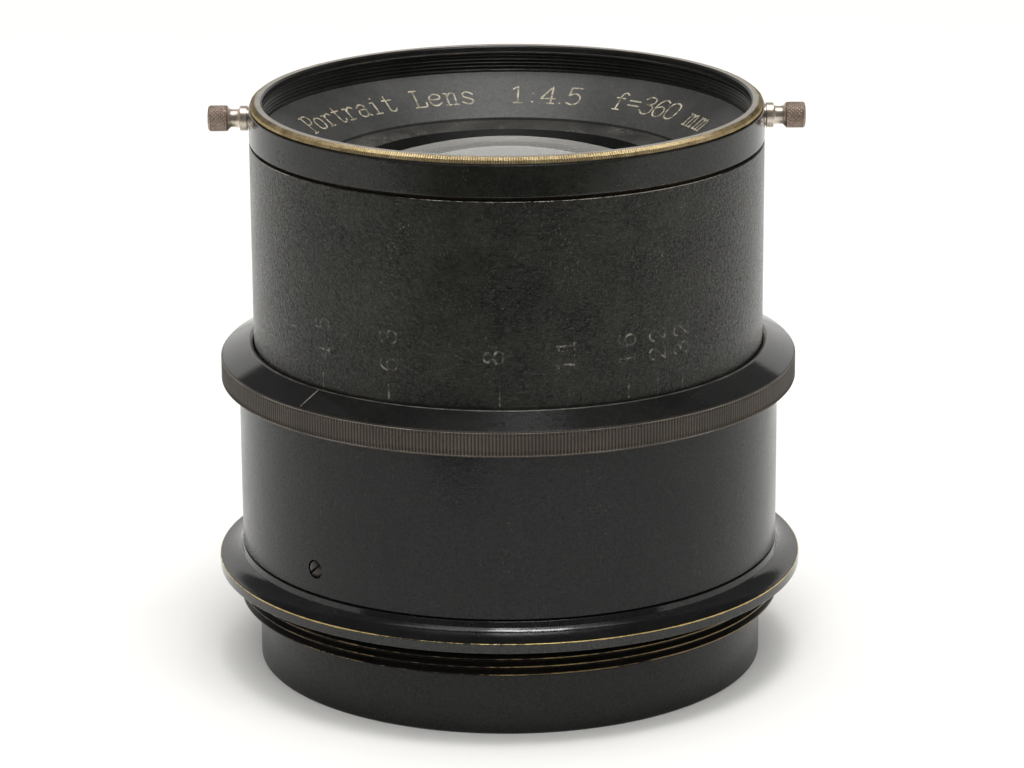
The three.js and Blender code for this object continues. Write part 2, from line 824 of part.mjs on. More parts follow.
add(
  "milled_rim",
  turned([
    [RIM.bore, RIM.bottom],
    [RIM.radius - RIM.edge, RIM.bottom],
    [RIM.radius, RIM.bottom + RIM.edge],
    [RIM.radius, RIM.top - RIM.bevelDrop],
    [RIM.radius - RIM.bevelWidth, RIM.top],
    [RIM.bore + RIM.mouth, RIM.top],
    [RIM.bore, RIM.top - RIM.mouth],
  ]),
  BARE_BRASS,
);

export default lens;
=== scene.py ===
import json
import math

import bmesh
import bpy
import numpy as np
from mathutils import Matrix, Vector


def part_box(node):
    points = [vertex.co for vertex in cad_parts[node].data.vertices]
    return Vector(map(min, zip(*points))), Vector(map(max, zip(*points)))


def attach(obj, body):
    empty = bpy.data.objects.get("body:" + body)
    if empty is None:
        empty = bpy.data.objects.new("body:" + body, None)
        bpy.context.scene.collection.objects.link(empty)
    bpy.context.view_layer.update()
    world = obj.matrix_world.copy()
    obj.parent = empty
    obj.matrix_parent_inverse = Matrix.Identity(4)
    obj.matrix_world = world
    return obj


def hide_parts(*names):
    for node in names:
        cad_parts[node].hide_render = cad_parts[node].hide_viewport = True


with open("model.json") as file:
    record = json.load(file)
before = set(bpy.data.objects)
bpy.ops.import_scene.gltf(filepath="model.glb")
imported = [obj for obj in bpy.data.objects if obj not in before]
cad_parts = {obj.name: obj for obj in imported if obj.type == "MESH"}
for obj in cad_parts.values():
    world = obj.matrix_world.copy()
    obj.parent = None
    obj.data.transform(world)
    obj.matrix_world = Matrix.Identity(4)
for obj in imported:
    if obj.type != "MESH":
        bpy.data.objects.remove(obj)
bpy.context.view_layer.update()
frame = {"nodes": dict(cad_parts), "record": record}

# A large barrel lens for portraits, standing on its rear ring with the front glass up.
# Meshes are worked out in millimetres, in the row frame, and scaled to metres as they are made.
# Azimuths are in degrees from the front (-Y) towards the right (+X).
MM = 0.001
FLATS = 36
FACET_HALF = math.pi / FLATS
ROUND = 288

# ---------------------------------------------------------------- outlines


def section_of(node, azimuth=5.0):
    """The outline that a half plane through the axis cuts from a CAD ring, as (radius, height) corners.
    The CAD ring has flat facets, and the plane meets one in its middle, so radii grow to the corners' own."""
    turn = math.radians(azimuth)
    outward = Vector((math.sin(turn), -math.cos(turn), 0))
    work = bmesh.new()
    work.from_mesh(frame["nodes"][node].data)
    bmesh.ops.remove_doubles(work, verts=work.verts, dist=1e-6)
    everything = work.verts[:] + work.edges[:] + work.faces[:]
    cut = bmesh.ops.bisect_plane(
        work, geom=everything, plane_co=(0, 0, 0), plane_no=outward.cross((0, 0, 1)), dist=1e-7
    )
    edges = [g for g in cut["geom_cut"] if isinstance(g, bmesh.types.BMEdge)]
    joined = {}
    for edge in edges:
        ends = edge.verts
        if min(v.co.dot(outward) for v in ends) > -1e-6:
            joined.setdefault(ends[0], []).append(ends[1])
            joined.setdefault(ends[1], []).append(ends[0])
    # A ring's outline closes on itself, and a solid's runs from the axis back to the axis.
    loose = [v for v, near in joined.items() if len(near) == 1]
    start = min(loose or joined, key=lambda v: (v.co.z, v.co.dot(outward)))
    path, last, here = [start], None, start
    while True:
        ahead = [v for v in joined[here] if v is not last and (v is not start or len(path) > 2)]
        if not ahead or ahead[0] is start:
            break
        last, here = here, ahead[0]
        path.append(here)
    grow = 1 / math.cos(FACET_HALF) / MM
    corners = [(max(0.0, v.co.dot(outward) * grow), v.co.z / MM) for v in path]
    work.free()
    corners = straightened(corners)
    area = sum(a[0] * b[1] - b[0] * a[1] for a, b in zip(corners, corners[1:] + corners[:1]))
    return corners if area > 0 else corners[::-1]


def straightened(corners, slack=0.004):
    """The outline without the points that lie on a straight run."""
    kept = []
    for i, point in enumerate(corners):
        before = Vector(corners[i - 1])
        after = Vector(corners[(i + 1) % len(corners)])
        here = Vector(point)
        run = after - before
        if run.length < slack or abs(run.normalized().cross(here - before)) > slack:
            kept.append(point)
    return kept


# Places along a rounded corner, and how worn each is.
ARC_STEPS = ((0, 0.3), (0.25, 0.8), (0.5, 1), (0.75, 0.8), (1, 0.3))
SHARP_TURN = math.radians(24)


def rounded(corners, radius, hold=0.5, rub=lambda r, z: 1):
    """The outline with each sharp corner turned into a small arc, as rows of [radius, height, wear, tooth].
    Wear is up to 1 along the corners that stand out, where a coat rubs off, and is 0 past hold of them.
    rub(radius, height) says how much of it each corner has."""
    rows = []
    for i, point in enumerate(corners):
        here = Vector(point)
        back = Vector(corners[i - 1]) - here
        ahead = Vector(corners[(i + 1) % len(corners)]) - here
        turn = math.pi - back.angle(ahead, 0)
        if here.x < 0.01 or turn < SHARP_TURN:
            rows.append([here.x, here.y, 0, 0])
            continue
        shortest = min(back.length, ahead.length)
        reach = min(radius * math.tan(turn / 2), 0.3 * shortest)
        side = min(reach + hold, 0.48 * shortest)
        wear = rub(here.x, here.y) if (-back).cross(ahead) > 0 else 0
        first = here + back.normalized() * reach
        final = here + ahead.normalized() * reach
        far = here + back.normalized() * side
        rows.append([far.x, far.y, 0, 0])
        for share, most in ARC_STEPS:
            one = first.lerp(here, share)
            two = here.lerp(final, share)
            spot = one.lerp(two, share)
            rows.append([spot.x, spot.y, wear * most, 0])
        far = here + ahead.normalized() * side
        rows.append([far.x, far.y, 0, 0])
    return rows


def with_rows(rows, radius, low, high, step):
    """The outline with the wall at that radius, between two heights, cut into fine rows marked as toothed."""
    made = []
    for i, row in enumerate(rows):
        after = rows[(i + 1) % len(rows)]
        made.append(row)
        on_wall = abs(row[0] - radius) < 0.05 and abs(after[0] - radius) < 0.05
        if not on_wall or abs(after[1] - row[1]) < 1:
            continue
        rising = after[1] > row[1]
        start, end = max(min(row[1], after[1]), low), min(max(row[1], after[1]), high)
        count = max(1, round((end - start) / step))
        heights = [start + (end - start) * k / count for k in range(count + 1)]
        made.extend([radius, z, 0, 1] for z in (heights if rising else heights[::-1]))
    return made


# ---------------------------------------------------------------- meshes


def finished(name, bm, smooth=True):
    """A new object from a mesh in millimetres, with its faces turned out."""
    bmesh.ops.recalc_face_normals(bm, faces=bm.faces)
    bmesh.ops.scale(bm, vec=(MM, MM, MM), verts=bm.verts)
    mesh = bpy.data.meshes.new(name)
    for face in bm.faces:
        face.smooth = smooth
    bm.to_mesh(mesh)
    bm.free()
    piece = bpy.data.objects.new(name, mesh)
    bpy.context.scene.collection.objects.link(piece)
    return piece


def revolved(name, rows, segments=ROUND, shape=None, place=None):
    """A closed body of revolution about +Z. shape(angle, height) gives what a toothed row adds to its radius,
    and how worn it is there. place moves the finished mesh, for a part that isn't on the lens axis."""
    outline = np.array(rows, float)
    angle = np.arange(segments) * 2 * np.pi / segments
    radius = np.repeat(outline[:, :1], segments, 1)
    height = np.repeat(outline[:, 1:2], segments, 1)
    wear = np.repeat(outline[:, 2:3], segments, 1)
    if shape:
        added, worn = shape(angle[None, :] + 0 * height, height)
        radius = radius + outline[:, 3:4] * added
        wear = np.maximum(wear, outline[:, 3:4] * worn)
    points = np.stack([radius * np.sin(angle), -radius * np.cos(angle), height], -1).reshape(-1, 3)
    solid = outline[0, 0] < 1e-6
    count = len(outline)
    faces = []
    for i in range(count - 1 if solid else count):
        here, above = i * segments, (i + 1) % count * segments
        faces.extend(
            (here + k, here + (k + 1) % segments, above + (k + 1) % segments, above + k)
            for k in range(segments)
        )
    mesh = bpy.data.meshes.new(name)
    mesh.from_pydata(points.tolist(), [], faces)
    mesh.attributes.new("wear", "FLOAT", "POINT").data.foreach_set("value", wear.astype(np.float32).ravel())
    bm = bmesh.new()
    bm.from_mesh(mesh)
    bpy.data.meshes.remove(mesh)
    if solid:
        bmesh.ops.remove_doubles(bm, verts=bm.verts, dist=1e-6)
    if place:
        bmesh.ops.transform(bm, matrix=place, verts=bm.verts)
    piece = finished(name, bm)
    weighted = piece.modifiers.new("even_normals", "WEIGHTED_NORMAL")
    weighted.keep_sharp = True
    return piece


def block(name, outline, low, high, place=None):
    """A prism over an outline, used only to cut other pieces."""
    bm = bmesh.new()
    foot = [bm.verts.new((x, y, low)) for x, y in outline]
    roof = [bm.verts.new((x, y, high)) for x, y in outline]
    bm.faces.new(foot[::-1])
    bm.faces.new(roof)
    for i in range(len(outline)):
        k = (i + 1) % len(outline)
        bm.faces.new((foot[i], foot[k], roof[k], roof[i]))
    if place:
        bmesh.ops.transform(bm, matrix=place, verts=bm.verts)
    return finished(name, bm, smooth=False)


def cut_away(piece, cutters):
    """Cuts the cutters from the piece for good, and removes them."""
    for cutter in cutters:
        carve = piece.modifiers.new("carve", "BOOLEAN")
        carve.operation = "DIFFERENCE"
        carve.solver = "EXACT"
        carve.object = cutter
        piece.modifiers.move(len(piece.modifiers) - 1, 0)
        bpy.context.view_layer.objects.active = piece
        bpy.ops.object.modifier_apply(modifier=carve.name)
        bpy.data.objects.remove(cutter)


def outward_frame(azimuth, height):
    """A matrix that turns +Z to point straight out of the barrel at an azimuth, from the axis at a height."""
    turn = math.radians(azimuth)
    out = Vector((math.sin(turn), -math.cos(turn), 0))
    side = Vector((math.cos(turn), math.sin(turn), 0))
    matrix = Matrix((side, Vector((0, 0, 1)), out)).transposed().to_4x4()
    matrix.translation = Vector((0, 0, height))
    return matrix


# ---------------------------------------------------------------- lettering

# Single-stroke figures and letters, 6 units tall, as an engraving machine follows them.
# A stroke is a run of x,y points, and a tilde makes it a curve.
GLYPHS = {
    "0": ["~2,6 0.3,5.4 0,3 0.3,0.6 2,0 3.7,0.6 4,3 3.7,5.4 2,6"],
    "1": ["0.9,5 2.1,6 2.1,0", "0.9,0 3.3,0"],
    "2": ["~0.3,4.5 0.7,5.8 2.2,6.2 3.8,5.4 3.4,3.4 1.6,1.7 0.2,0", "0.2,0 3.9,0 3.9,0.8"],
    "3": ["~0.4,5.1 1.4,6.2 3.5,5.8 3.7,3.9 1.6,3.3", "~1.6,3.3 4,3.1 4,0.5 1.8,-0.3 0.2,1"],
    "4": ["3,0 3,6 0.1,1.7 4,1.7", "2.1,0 3.9,0"],
    "5": ["3.6,6 0.9,6 0.7,3.2", "~0.7,3.2 2.2,4.2 3.9,3.2 3.9,0.9 2.1,-0.3 0.3,0.6"],
    "6": ["~3.6,5.5 2.3,6.3 0.6,4.9 0.1,2.2 0.9,-0.1 3.1,-0.1 4,1.7 3.1,3.6 1.2,3.5 0.2,2.2"],
    "8": ["~2,3.3 0.4,4.2 0.5,5.9 2,6.2 3.5,5.9 3.6,4.2 2,3.3 0.1,2.4 0.1,0.3 2,-0.3 3.9,0.3 3.9,2.4 2,3.3"],
    ".": ["1.9,0.2 2.1,0.2"],
    ":": ["1.9,0.4 2.1,0.4", "1.9,3.4 2.1,3.4"],
    "=": ["0.3,2.1 3.7,2.1", "0.3,3.7 3.7,3.7"],
    "P": ["1.1,0 1.1,6", "0.2,0 2,0", "0.2,6 1.2,6", "~1.1,6 3.4,6.1 4.3,4.6 3.4,3 1.1,3"],
    "L": ["1.2,0 1.2,6", "0.3,6 2.1,6", "0.3,0 3.9,0 3.9,1.5"],
    "o": ["~2,4.2 0.5,3.7 0.3,2.1 0.5,0.5 2,0 3.5,0.5 3.7,2.1 3.5,3.7 2,4.2"],
    "r": ["0.3,4.1 1.2,4.1 1.2,0", "0.3,0 2.3,0", "~1.2,2.7 1.8,4 3,4.4 3.7,3.6"],
    "t": ["~1.5,5.5 1.5,2 1.5,0.1 2.9,-0.2 3.7,0.9", "0.5,4.1 3.2,4.1"],
    "a": [
        "~0.6,3.5 1.7,4.4 3.2,4 3.2,2.4", "3.2,3 3.2,0.5 3.9,0",
        "~3.2,2.5 0.9,2.5 0.2,1.2 0.9,-0.1 2.6,0 3.2,1.2",
    ],
    "i": ["1.1,4.1 2,4.1 2,0", "1,0 3,0", "1.9,5.6 2.1,5.6"],
    "e": ["~0.4,2.3 3.7,2.3 3.5,3.8 2,4.4 0.4,3.4 0.4,0.8 2.1,-0.2 3.7,0.9"],
    "n": [
        "0.3,4.1 1,4.1 1,0", "0.3,0 1.7,0", "~1,2.9 1.8,4.3 3.1,4.1 3.2,2.6", "3.2,2.9 3.2,0", "2.5,0 3.9,0",
    ],
    "s": ["~3.5,3.4 2.2,4.5 0.7,3.9 0.8,2.6 2.1,2.1 3.5,1.5 3.4,0.2 2,-0.2 0.5,0.7"],
    "f": ["~3.6,5.5 2.7,6.3 1.7,5.5 1.7,3.5", "1.7,4.3 1.7,0", "0.7,4.1 3,4.1", "0.8,0 2.8,0"],
    "m": [
        "0,4.1 0.5,4.1 0.5,0", "0,0 1.1,0", "1.7,0 2.6,0", "3.3,0 4.2,0", "2.1,3 2.1,0", "3.7,3 3.7,0",
        "~0.5,3 1.1,4.2 1.9,4.1 2.1,2.8", "~2.1,3 2.7,4.2 3.5,4.1 3.7,2.8",
    ],
}
UNITS_TALL = 6
UNITS_WIDE = 4


def softened(points):
    """The line with its corners cut three times, which turns it into a smooth curve with the same ends."""
    for _ in range(3):
        made = [points[0]]
        for a, b in zip(points, points[1:]):
            made.extend([a.lerp(b, 0.25), a.lerp(b, 0.75)])
        points = made + [points[-1]]
    return points


def lettered(text, height, pitch, advance=None):
    """The strokes of a line of text, centred on 0 along and on 0 across, in millimetres.
    advance gives a glyph its own step."""
    unit = height / UNITS_TALL
    steps = [(advance or {}).get(c, pitch) for c in text]
    along = -sum(steps) / 2
    strokes = []
    for glyph, step in zip(text, steps):
        for stroke in GLYPHS.get(glyph, []):
            line = [Vector([float(v) for v in pair.split(",")]) for pair in stroke.strip("~").split()]
            line = softened(line) if stroke.startswith("~") else line
            shift = along + (step - UNITS_WIDE * unit) / 2
            strokes.append([Vector((p.x * unit + shift, p.y * unit - height / 2)) for p in line])
        along += step
    return strokes


def stroke_path(line, step):
    """The line with points at most step apart."""
    path = [line[0]]
    for a, b in zip(line, line[1:]):
        count = max(1, math.ceil((b - a).length / step))
        path.extend(a.lerp(b, k / count) for k in range(1, count + 1))
    return path


ROUND_END = (1.3, 0.8, 0.35)
STROKE_STEP = 0.6


def inlaid(name, strokes, surface, width, proud=0.02, depth=0.15):
    """Engraved strokes filled level with the surface: flat round-ended bars that follow it.
    surface(along, across, lift) gives the point in millimetres."""
    bm = bmesh.new()
    half = width / 2
    for line in strokes:
        path = stroke_path(line, STROKE_STEP)
        ends = []
        for near, far in ((path[0], path[1]), (path[-1], path[-2])):
            away = (near - far).normalized()
            ends.append([(near + away * half * math.sin(t), half * math.cos(t)) for t in ROUND_END])
        stations = ends[0] + [(p, half) for p in path] + ends[1][::-1]
        rings = []
        for i, (spot, reach) in enumerate(stations):
            before = stations[max(i - 1, 0)][0]
            after = stations[min(i + 1, len(stations) - 1)][0]
            run = (after - before).normalized()
            side = Vector((-run.y, run.x)) * reach
            left, right = spot + side, spot - side
            corners = ((left, -depth), (left, proud), (right, proud), (right, -depth))
            rings.append([bm.verts.new(surface(p.x, p.y, lift)) for p, lift in corners])
        for a, b in zip(rings, rings[1:]):
            for k in range(4):
                bm.faces.new((a[k], a[(k + 1) % 4], b[(k + 1) % 4], b[k]))
        bm.faces.new(rings[0][::-1])
        bm.faces.new(rings[-1])
    return finished(name, bm, smooth=False)


# ---------------------------------------------------------------- materials


class Finish:
    """A procedural material, put together from a few shader nodes."""

    def __init__(self, name):
        self.material = bpy.data.materials.new(name)
        self.material.use_nodes = True
        self.tree = self.material.node_tree
        self.shader = self.tree.nodes["Principled BSDF"]
        self.where = self.tree.nodes.new("ShaderNodeTexCoord").outputs["Object"]

    def put(self, target, value):
        if isinstance(value, bpy.types.NodeSocket):
            self.tree.links.new(value, target)
        else:
            target.default_value = value

    def noise(self, size, detail=3, stretch=(1, 1, 1), rough=0.55):
        """Noise with features of about size millimetres, drawn out along the axes with a larger stretch."""
        mapping = self.tree.nodes.new("ShaderNodeMapping")
        mapping.inputs["Scale"].default_value = [1 / (size * MM * s) for s in stretch]
        self.tree.links.new(self.where, mapping.inputs["Vector"])
        noise = self.tree.nodes.new("ShaderNodeTexNoise")
        noise.inputs["Scale"].default_value = 1
        noise.inputs["Detail"].default_value = detail
        noise.inputs["Roughness"].default_value = rough
        self.tree.links.new(mapping.outputs["Vector"], noise.inputs["Vector"])
        return noise.outputs["Fac"]

    def math(self, kind, a, b=0.0):
        node = self.tree.nodes.new("ShaderNodeMath")
        node.operation = kind
        self.put(node.inputs[0], a)
        self.put(node.inputs[1], b)
        return node.outputs[0]

    def between(self, value, low, high, start=0.0, end=1.0):
        """value stretched so that low gives start and high gives end, and held there past them."""
        node = self.tree.nodes.new("ShaderNodeMapRange")
        self.put(node.inputs["Value"], value)
        for key, number in (("From Min", low), ("From Max", high), ("To Min", start), ("To Max", end)):
            self.put(node.inputs[key], number)
        return node.outputs["Result"]

    def blend(self, share, a, b):
        """Colour a where share is 0 and b where it is 1."""
        node = self.tree.nodes.new("ShaderNodeMix")
        node.data_type = "RGBA"
        self.put(node.inputs["Factor"], share)
        self.put(node.inputs["A"], (*a, 1) if isinstance(a, tuple) else a)
        self.put(node.inputs["B"], (*b, 1) if isinstance(b, tuple) else b)
        return node.outputs["Result"]

    def wear(self):
        node = self.tree.nodes.new("ShaderNodeAttribute")
        node.attribute_name = "wear"
        return node.outputs["Fac"]

    def bump(self, height, strength, distance):
        node = self.tree.nodes.new("ShaderNodeBump")
        node.inputs["Strength"].default_value = strength
        node.inputs["Distance"].default_value = distance * MM
        self.tree.links.new(height, node.inputs["Height"])
        self.tree.links.new(node.outputs["Normal"], self.shader.inputs["Normal"])


DUST = (0.16, 0.15, 0.13)


def coated(
    name, dark, light, rough, bare=(0.42, 0.31, 0.16), loss=0.5, specks=0.3,
    level=0.2, grain=0.06, pitted=0.63, pebbled=0.2,
):
    """Black lacquer on brass: blotches, pits and dust, faint turned lines, and bare metal along its edges.
    loss is how far the edges are rubbed, specks how dusty it is, grain how deep its relief is in millimetres,
    and pebbled how unevenly it shines."""
    f = Finish(name)
    cloud = f.noise(16, 5)
    fine = f.noise(0.45, 4)
    lines = f.noise(0.22, 2, (60, 60, 1))
    chips = f.between(f.noise(0.5, 4), pitted, pitted + 0.05)
    patches = f.between(f.noise(11, 4), 0.5, 0.66, 0.12, 1)
    dust = f.math("MULTIPLY", f.math("MULTIPLY", chips, patches), specks)
    scuffs = f.between(f.noise(0.3, 2, (1, 1, 14)), 0.70, 0.74)
    scuffs = f.math("MULTIPLY", scuffs, f.between(f.noise(7, 2), 0.55, 0.62, 0, 0.6 * specks))
    edge = f.math("ADD", f.wear(), f.between(f.noise(45, 2), 0.4, 0.6, -0.45, 0.0))
    edge = f.math("ADD", edge, f.between(f.noise(2.5, 5, rough=0.7), 0.38, 0.62, -0.3, 0.05))
    rubbed = f.between(edge, 1.02 - 1.1 * loss, 1.3 - 1.1 * loss)
    small_blots = f.between(f.noise(1.6, 4), 0.35, 0.65, -0.1, 0.35)
    mottle = f.math("ADD", f.between(cloud, 0.35, 0.7, 0, 0.75), small_blots)
    paint = f.blend(mottle, dark, light)
    paint = f.blend(f.math("MAXIMUM", dust, scuffs), paint, DUST)
    f.put(f.shader.inputs["Base Color"], f.blend(rubbed, paint, bare))
    f.put(f.shader.inputs["Metallic"], f.math("MULTIPLY", rubbed, 0.65))
    coat = f.between(fine, 0.3, 0.7, rough - 0.03, rough + 0.05)
    coat = f.math("ADD", coat, f.between(lines, 0.3, 0.7, -0.01, 0.02))
    coat = f.math("ADD", coat, f.between(cloud, 0.35, 0.7, -0.03, 0.04))
    coat = f.math("ADD", coat, f.math("MULTIPLY", dust, 0.3))
    f.put(f.shader.inputs["Roughness"], f.math("MAXIMUM", coat, f.math("MULTIPLY", rubbed, 0.36)))
    shine = f.between(f.noise(0.6, 3), 0.36, 0.64, level * (1 - pebbled), level * (1 + pebbled))
    f.put(f.shader.inputs["Specular IOR Level"], shine)
    relief = f.math("ADD", fine, f.math("MULTIPLY", lines, 0.4))
    relief = f.math("ADD", relief, f.math("MULTIPLY", f.noise(1.3, 3), 1.6))
    f.bump(f.math("ADD", relief, dust), 0.3, grain)
    return f.material


def metal(name, dull, bright, rough, streak=(60, 60, 1), dirt=(0.02, 0.016, 0.012), dirty=0.4):
    """Bare or tarnished metal: turned lines, dull patches, and dirt everywhere but on the raised edges."""
    f = Finish(name)
    cloud = f.noise(5, 5)
    lines = f.noise(0.12, 3, streak)
    spots = f.between(f.noise(0.7, 4), 0.45, 0.62)
    shade = f.blend(f.between(cloud, 0.35, 0.68), dull, bright)
    shade = f.blend(f.between(lines, 0.35, 0.65, 0, 0.35), shade, bright)
    grime = f.math("MULTIPLY", f.math("SUBTRACT", 1.0, f.wear()), f.between(spots, 0, 1, 0.4 * dirty, dirty))
    f.put(f.shader.inputs["Base Color"], f.blend(grime, shade, dirt))
    f.put(f.shader.inputs["Metallic"], f.between(grime, 0, 1, 1, 0.35))
    f.put(f.shader.inputs["Roughness"], f.between(cloud, 0.3, 0.7, rough - 0.06, rough + 0.1))
    f.bump(lines, 0.25, 0.03)
    return f.material


# Light grey for the knurl's rounded edges: partly handling wear, partly a painted highlight.
HANDLED_AND_HIGHLIGHT = (0.42, 0.38, 0.33)


def knurled(name, valley, crest, rough):
    """A worn straight knurl: dirt in its grooves, handling wear along its teeth, and a light line on its
    rounded edges that is partly handling wear and partly a painted highlight.
    """
    f = Finish(name)
    cloud = f.between(f.noise(12, 4), 0.35, 0.65, 0.55, 1)
    worn = f.math("MULTIPLY", f.wear(), cloud)
    worn = f.math("MULTIPLY", worn, f.between(f.noise(0.6, 3), 0.3, 0.7, 0.6, 1.1))
    # Along the rounded edges the light grey line is partly handling wear and partly a painted highlight.
    edge = f.math("MULTIPLY", f.between(f.wear(), 0.75, 1), f.between(f.noise(14, 3), 0.4, 0.6, 0.2, 1))
    f.put(f.shader.inputs["Base Color"], f.blend(edge, f.blend(worn, valley, crest), HANDLED_AND_HIGHLIGHT))
    f.put(f.shader.inputs["Metallic"], f.between(worn, 0.5, 1, 0.1, 0.7))
    f.put(f.shader.inputs["Roughness"], f.between(f.noise(0.5, 3), 0.3, 0.7, rough, rough + 0.12))
    f.shader.inputs["Specular IOR Level"].default_value = 0.3
    f.bump(f.noise(0.25, 3), 0.3, 0.04)
    return f.material


def filled(name, paint, lost, loss):
    """Old paint in engraving, with some of it gone. On the aperture scale the light tone is partly old paint
    and partly painted glints along the engraving's edges.
    """
    f = Finish(name)
    gone = f.between(f.noise(1.3, 4), 0.58 - 0.25 * loss, 0.68 - 0.25 * loss)
    tint = f.blend(f.between(f.noise(2.5, 3), 0.35, 0.65), paint, tuple(0.6 * c for c in paint))
    f.put(f.shader.inputs["Base Color"], f.blend(gone, tint, lost))
    f.put(f.shader.inputs["Roughness"], f.between(f.noise(0.4, 3), 0.3, 0.7, 0.4, 0.65))
    f.bump(f.noise(0.3, 3), 0.4, 0.05)
    return f.material


def glass(name, tint, index):
    """Polished optical glass with a faint film of dust and cleaning marks."""
    f = Finish(name)
    film = f.between(f.noise(6, 4), 0.45, 0.75, 0.0, 0.03)
    f.put(f.shader.inputs["Base Color"], f.blend(f.noise(30, 2), tint, tuple(0.96 * c for c in tint)))
    f.put(f.shader.inputs["Roughness"], film)
    f.shader.inputs["Transmission Weight"].default_value = 1.0
    f.shader.inputs["IOR"].default_value = index
    f.shader.inputs["Specular Tint"].default_value = (0.80, 0.78, 0.74, 1)
    f.shader.inputs["Sheen Weight"].default_value = 0.8
    f.shader.inputs["Sheen Roughness"].default_value = 0.45
    f.shader.inputs["Sheen Tint"].default_value = (0.72, 0.70, 0.66, 1)
    return f.material


def floor_paper(name):
    """Matt white paper with a hardly visible tooth."""
    f = Finish(name)
    f.put(f.shader.inputs["Base Color"], f.blend(f.noise(60, 3), (0.90, 0.893, 0.868), (0.915, 0.908, 0.885)))
    f.put(f.shader.inputs["Roughness"], f.between(f.noise(4, 3), 0.3, 0.7, 0.75, 0.9))
    f.bump(f.noise(0.8, 3), 0.1, 0.05)
    return f.material


def dressed(piece, material, slot, body, *nodes):
    """Gives a new piece its material, its body and the CAD nodes that it stands for. slot is not used."""
    piece.data.materials.clear()
    piece.data.materials.append(material)
    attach(piece, body)
    if nodes:
        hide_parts(*nodes)
    return piece


RING_BLACK = coated(
    "ring_black", (0.005, 0.005, 0.005), (0.008, 0.008, 0.0075), 0.28,
    specks=0.2, loss=0.66, level=0.23,
)
BARREL_BLACK = coated(
    "barrel_black", (0.006, 0.006, 0.0055), (0.0185, 0.0185, 0.0145), 0.21,
    bare=(0.35, 0.32, 0.27), specks=0.6, loss=0.5, level=0.22, grain=0.35, pebbled=0.6,
)
COLLAR_BLACK = coated(
    "collar_black", (0.007, 0.007, 0.006), (0.013, 0.013, 0.011), 0.12,
    specks=0.3, loss=0.5, level=0.3,
)
CONE_BLACK = coated(
    "cone_black", (0.029, 0.029, 0.028), (0.048, 0.047, 0.044), 0.4,
    specks=0.6, loss=0.05, level=0.5,
)
KEEPER_BLACK = coated(
    "keeper_black", (0.017, 0.017, 0.016), (0.055, 0.054, 0.049), 0.36,
    specks=1.4, loss=0.2, level=0.4, pitted=0.56,
)
BEVEL_BLACK = coated(
    "bevel_black", (0.003, 0.003, 0.003), (0.006, 0.006, 0.0055), 0.45,
    loss=0.1, specks=0.2, level=0.1,
)
GRIP_BLACK = coated(
    "grip_black", (0.007, 0.007, 0.007), (0.013, 0.013, 0.0125), 0.05,
    bare=(0.34, 0.31, 0.27), specks=0.2, loss=0.75, level=0.3, grain=0.015,
)
SATIN_BLACK = coated(
    "satin_black", (0.004, 0.004, 0.0044), (0.007, 0.007, 0.0075), 0.2,
    specks=0.25, loss=0.3, level=0.25, grain=0.09,
)
FLANGE_BLACK = coated(
    "flange_black", (0.006, 0.006, 0.006), (0.012, 0.012, 0.012), 0.06,
    bare=(0.62, 0.46, 0.18), specks=0.3, loss=0.68, level=0.4, grain=0.03,
)
THREAD_BLACK = coated(
    "thread_black", (0.003, 0.0028, 0.0025), (0.007, 0.006, 0.0045), 0.3,
    bare=(0.20, 0.145, 0.07), loss=0.62, specks=0.1, level=0.12,
)
# Black paint for the threaded bores, kept darker than the cone below as painted shade in the thread's recess.
THREAD_BLACK_AND_SHADE = coated(
    "thread_black_and_shade", (0.006, 0.006, 0.0055), (0.012, 0.012, 0.011), 0.3, loss=0.2, specks=0.3
)
RIM_BRASS = metal("rim_brass", (0.27, 0.19, 0.08), (0.60, 0.47, 0.26), 0.32, dirty=1.0)
# A painted reflection: the rim's top face in a lighter, greyer brass than its milled side, as the bright room
# looks in it.
RIM_TOP_PAINTED_REFLECTION = metal(
    "rim_top_painted_reflection", (0.36, 0.32, 0.27), (0.62, 0.57, 0.50), 0.38, dirt=(0.05, 0.04, 0.03), dirty=0.35
)
KNOB_METAL = metal(
    "knob_metal", (0.55, 0.46, 0.38), (0.82, 0.74, 0.65), 0.34,
    streak=(1, 60, 60), dirt=(0.25, 0.19, 0.14), dirty=0.25,
)
KNOB_GRIP = metal(
    "knob_grip", (0.34, 0.25, 0.20), (0.56, 0.45, 0.37), 0.34,
    streak=(1, 60, 60), dirt=(0.10, 0.07, 0.05), dirty=0.8,
)
SCREW_STEEL = metal("screw_steel", (0.018, 0.017, 0.015), (0.05, 0.047, 0.042), 0.25, dirty=0.9)
DARK_BRASS = metal("dark_brass", (0.05, 0.04, 0.03), (0.12, 0.09, 0.06), 0.45, dirty=0.6)
BLADE_STEEL = metal(
    "blade_steel", (0.03, 0.032, 0.036), (0.07, 0.072, 0.078), 0.38, streak=(1, 60, 60), dirty=0.3
)
# A painted highlight: a light grey line along the aperture ring's inner crown edge, beside the barrel.
CROWN_PAINTED_HIGHLIGHT = metal("crown_painted_highlight", (0.16, 0.15, 0.14), (0.34, 0.32, 0.29), 0.36, dirty=0.5)
GRIP_KNURL = knurled("grip_knurl", (0.016, 0.013, 0.010), (0.115, 0.092, 0.072), 0.34)
CROWN_GLASS = glass("crown_glass", (0.98, 1.0, 0.985), 1.52)
FLINT_GLASS = glass("flint_glass", (0.985, 0.985, 0.955), 1.62)
CREAM_FILL = filled("cream_fill", (0.46, 0.41, 0.30), (0.15, 0.13, 0.09), 0.35)
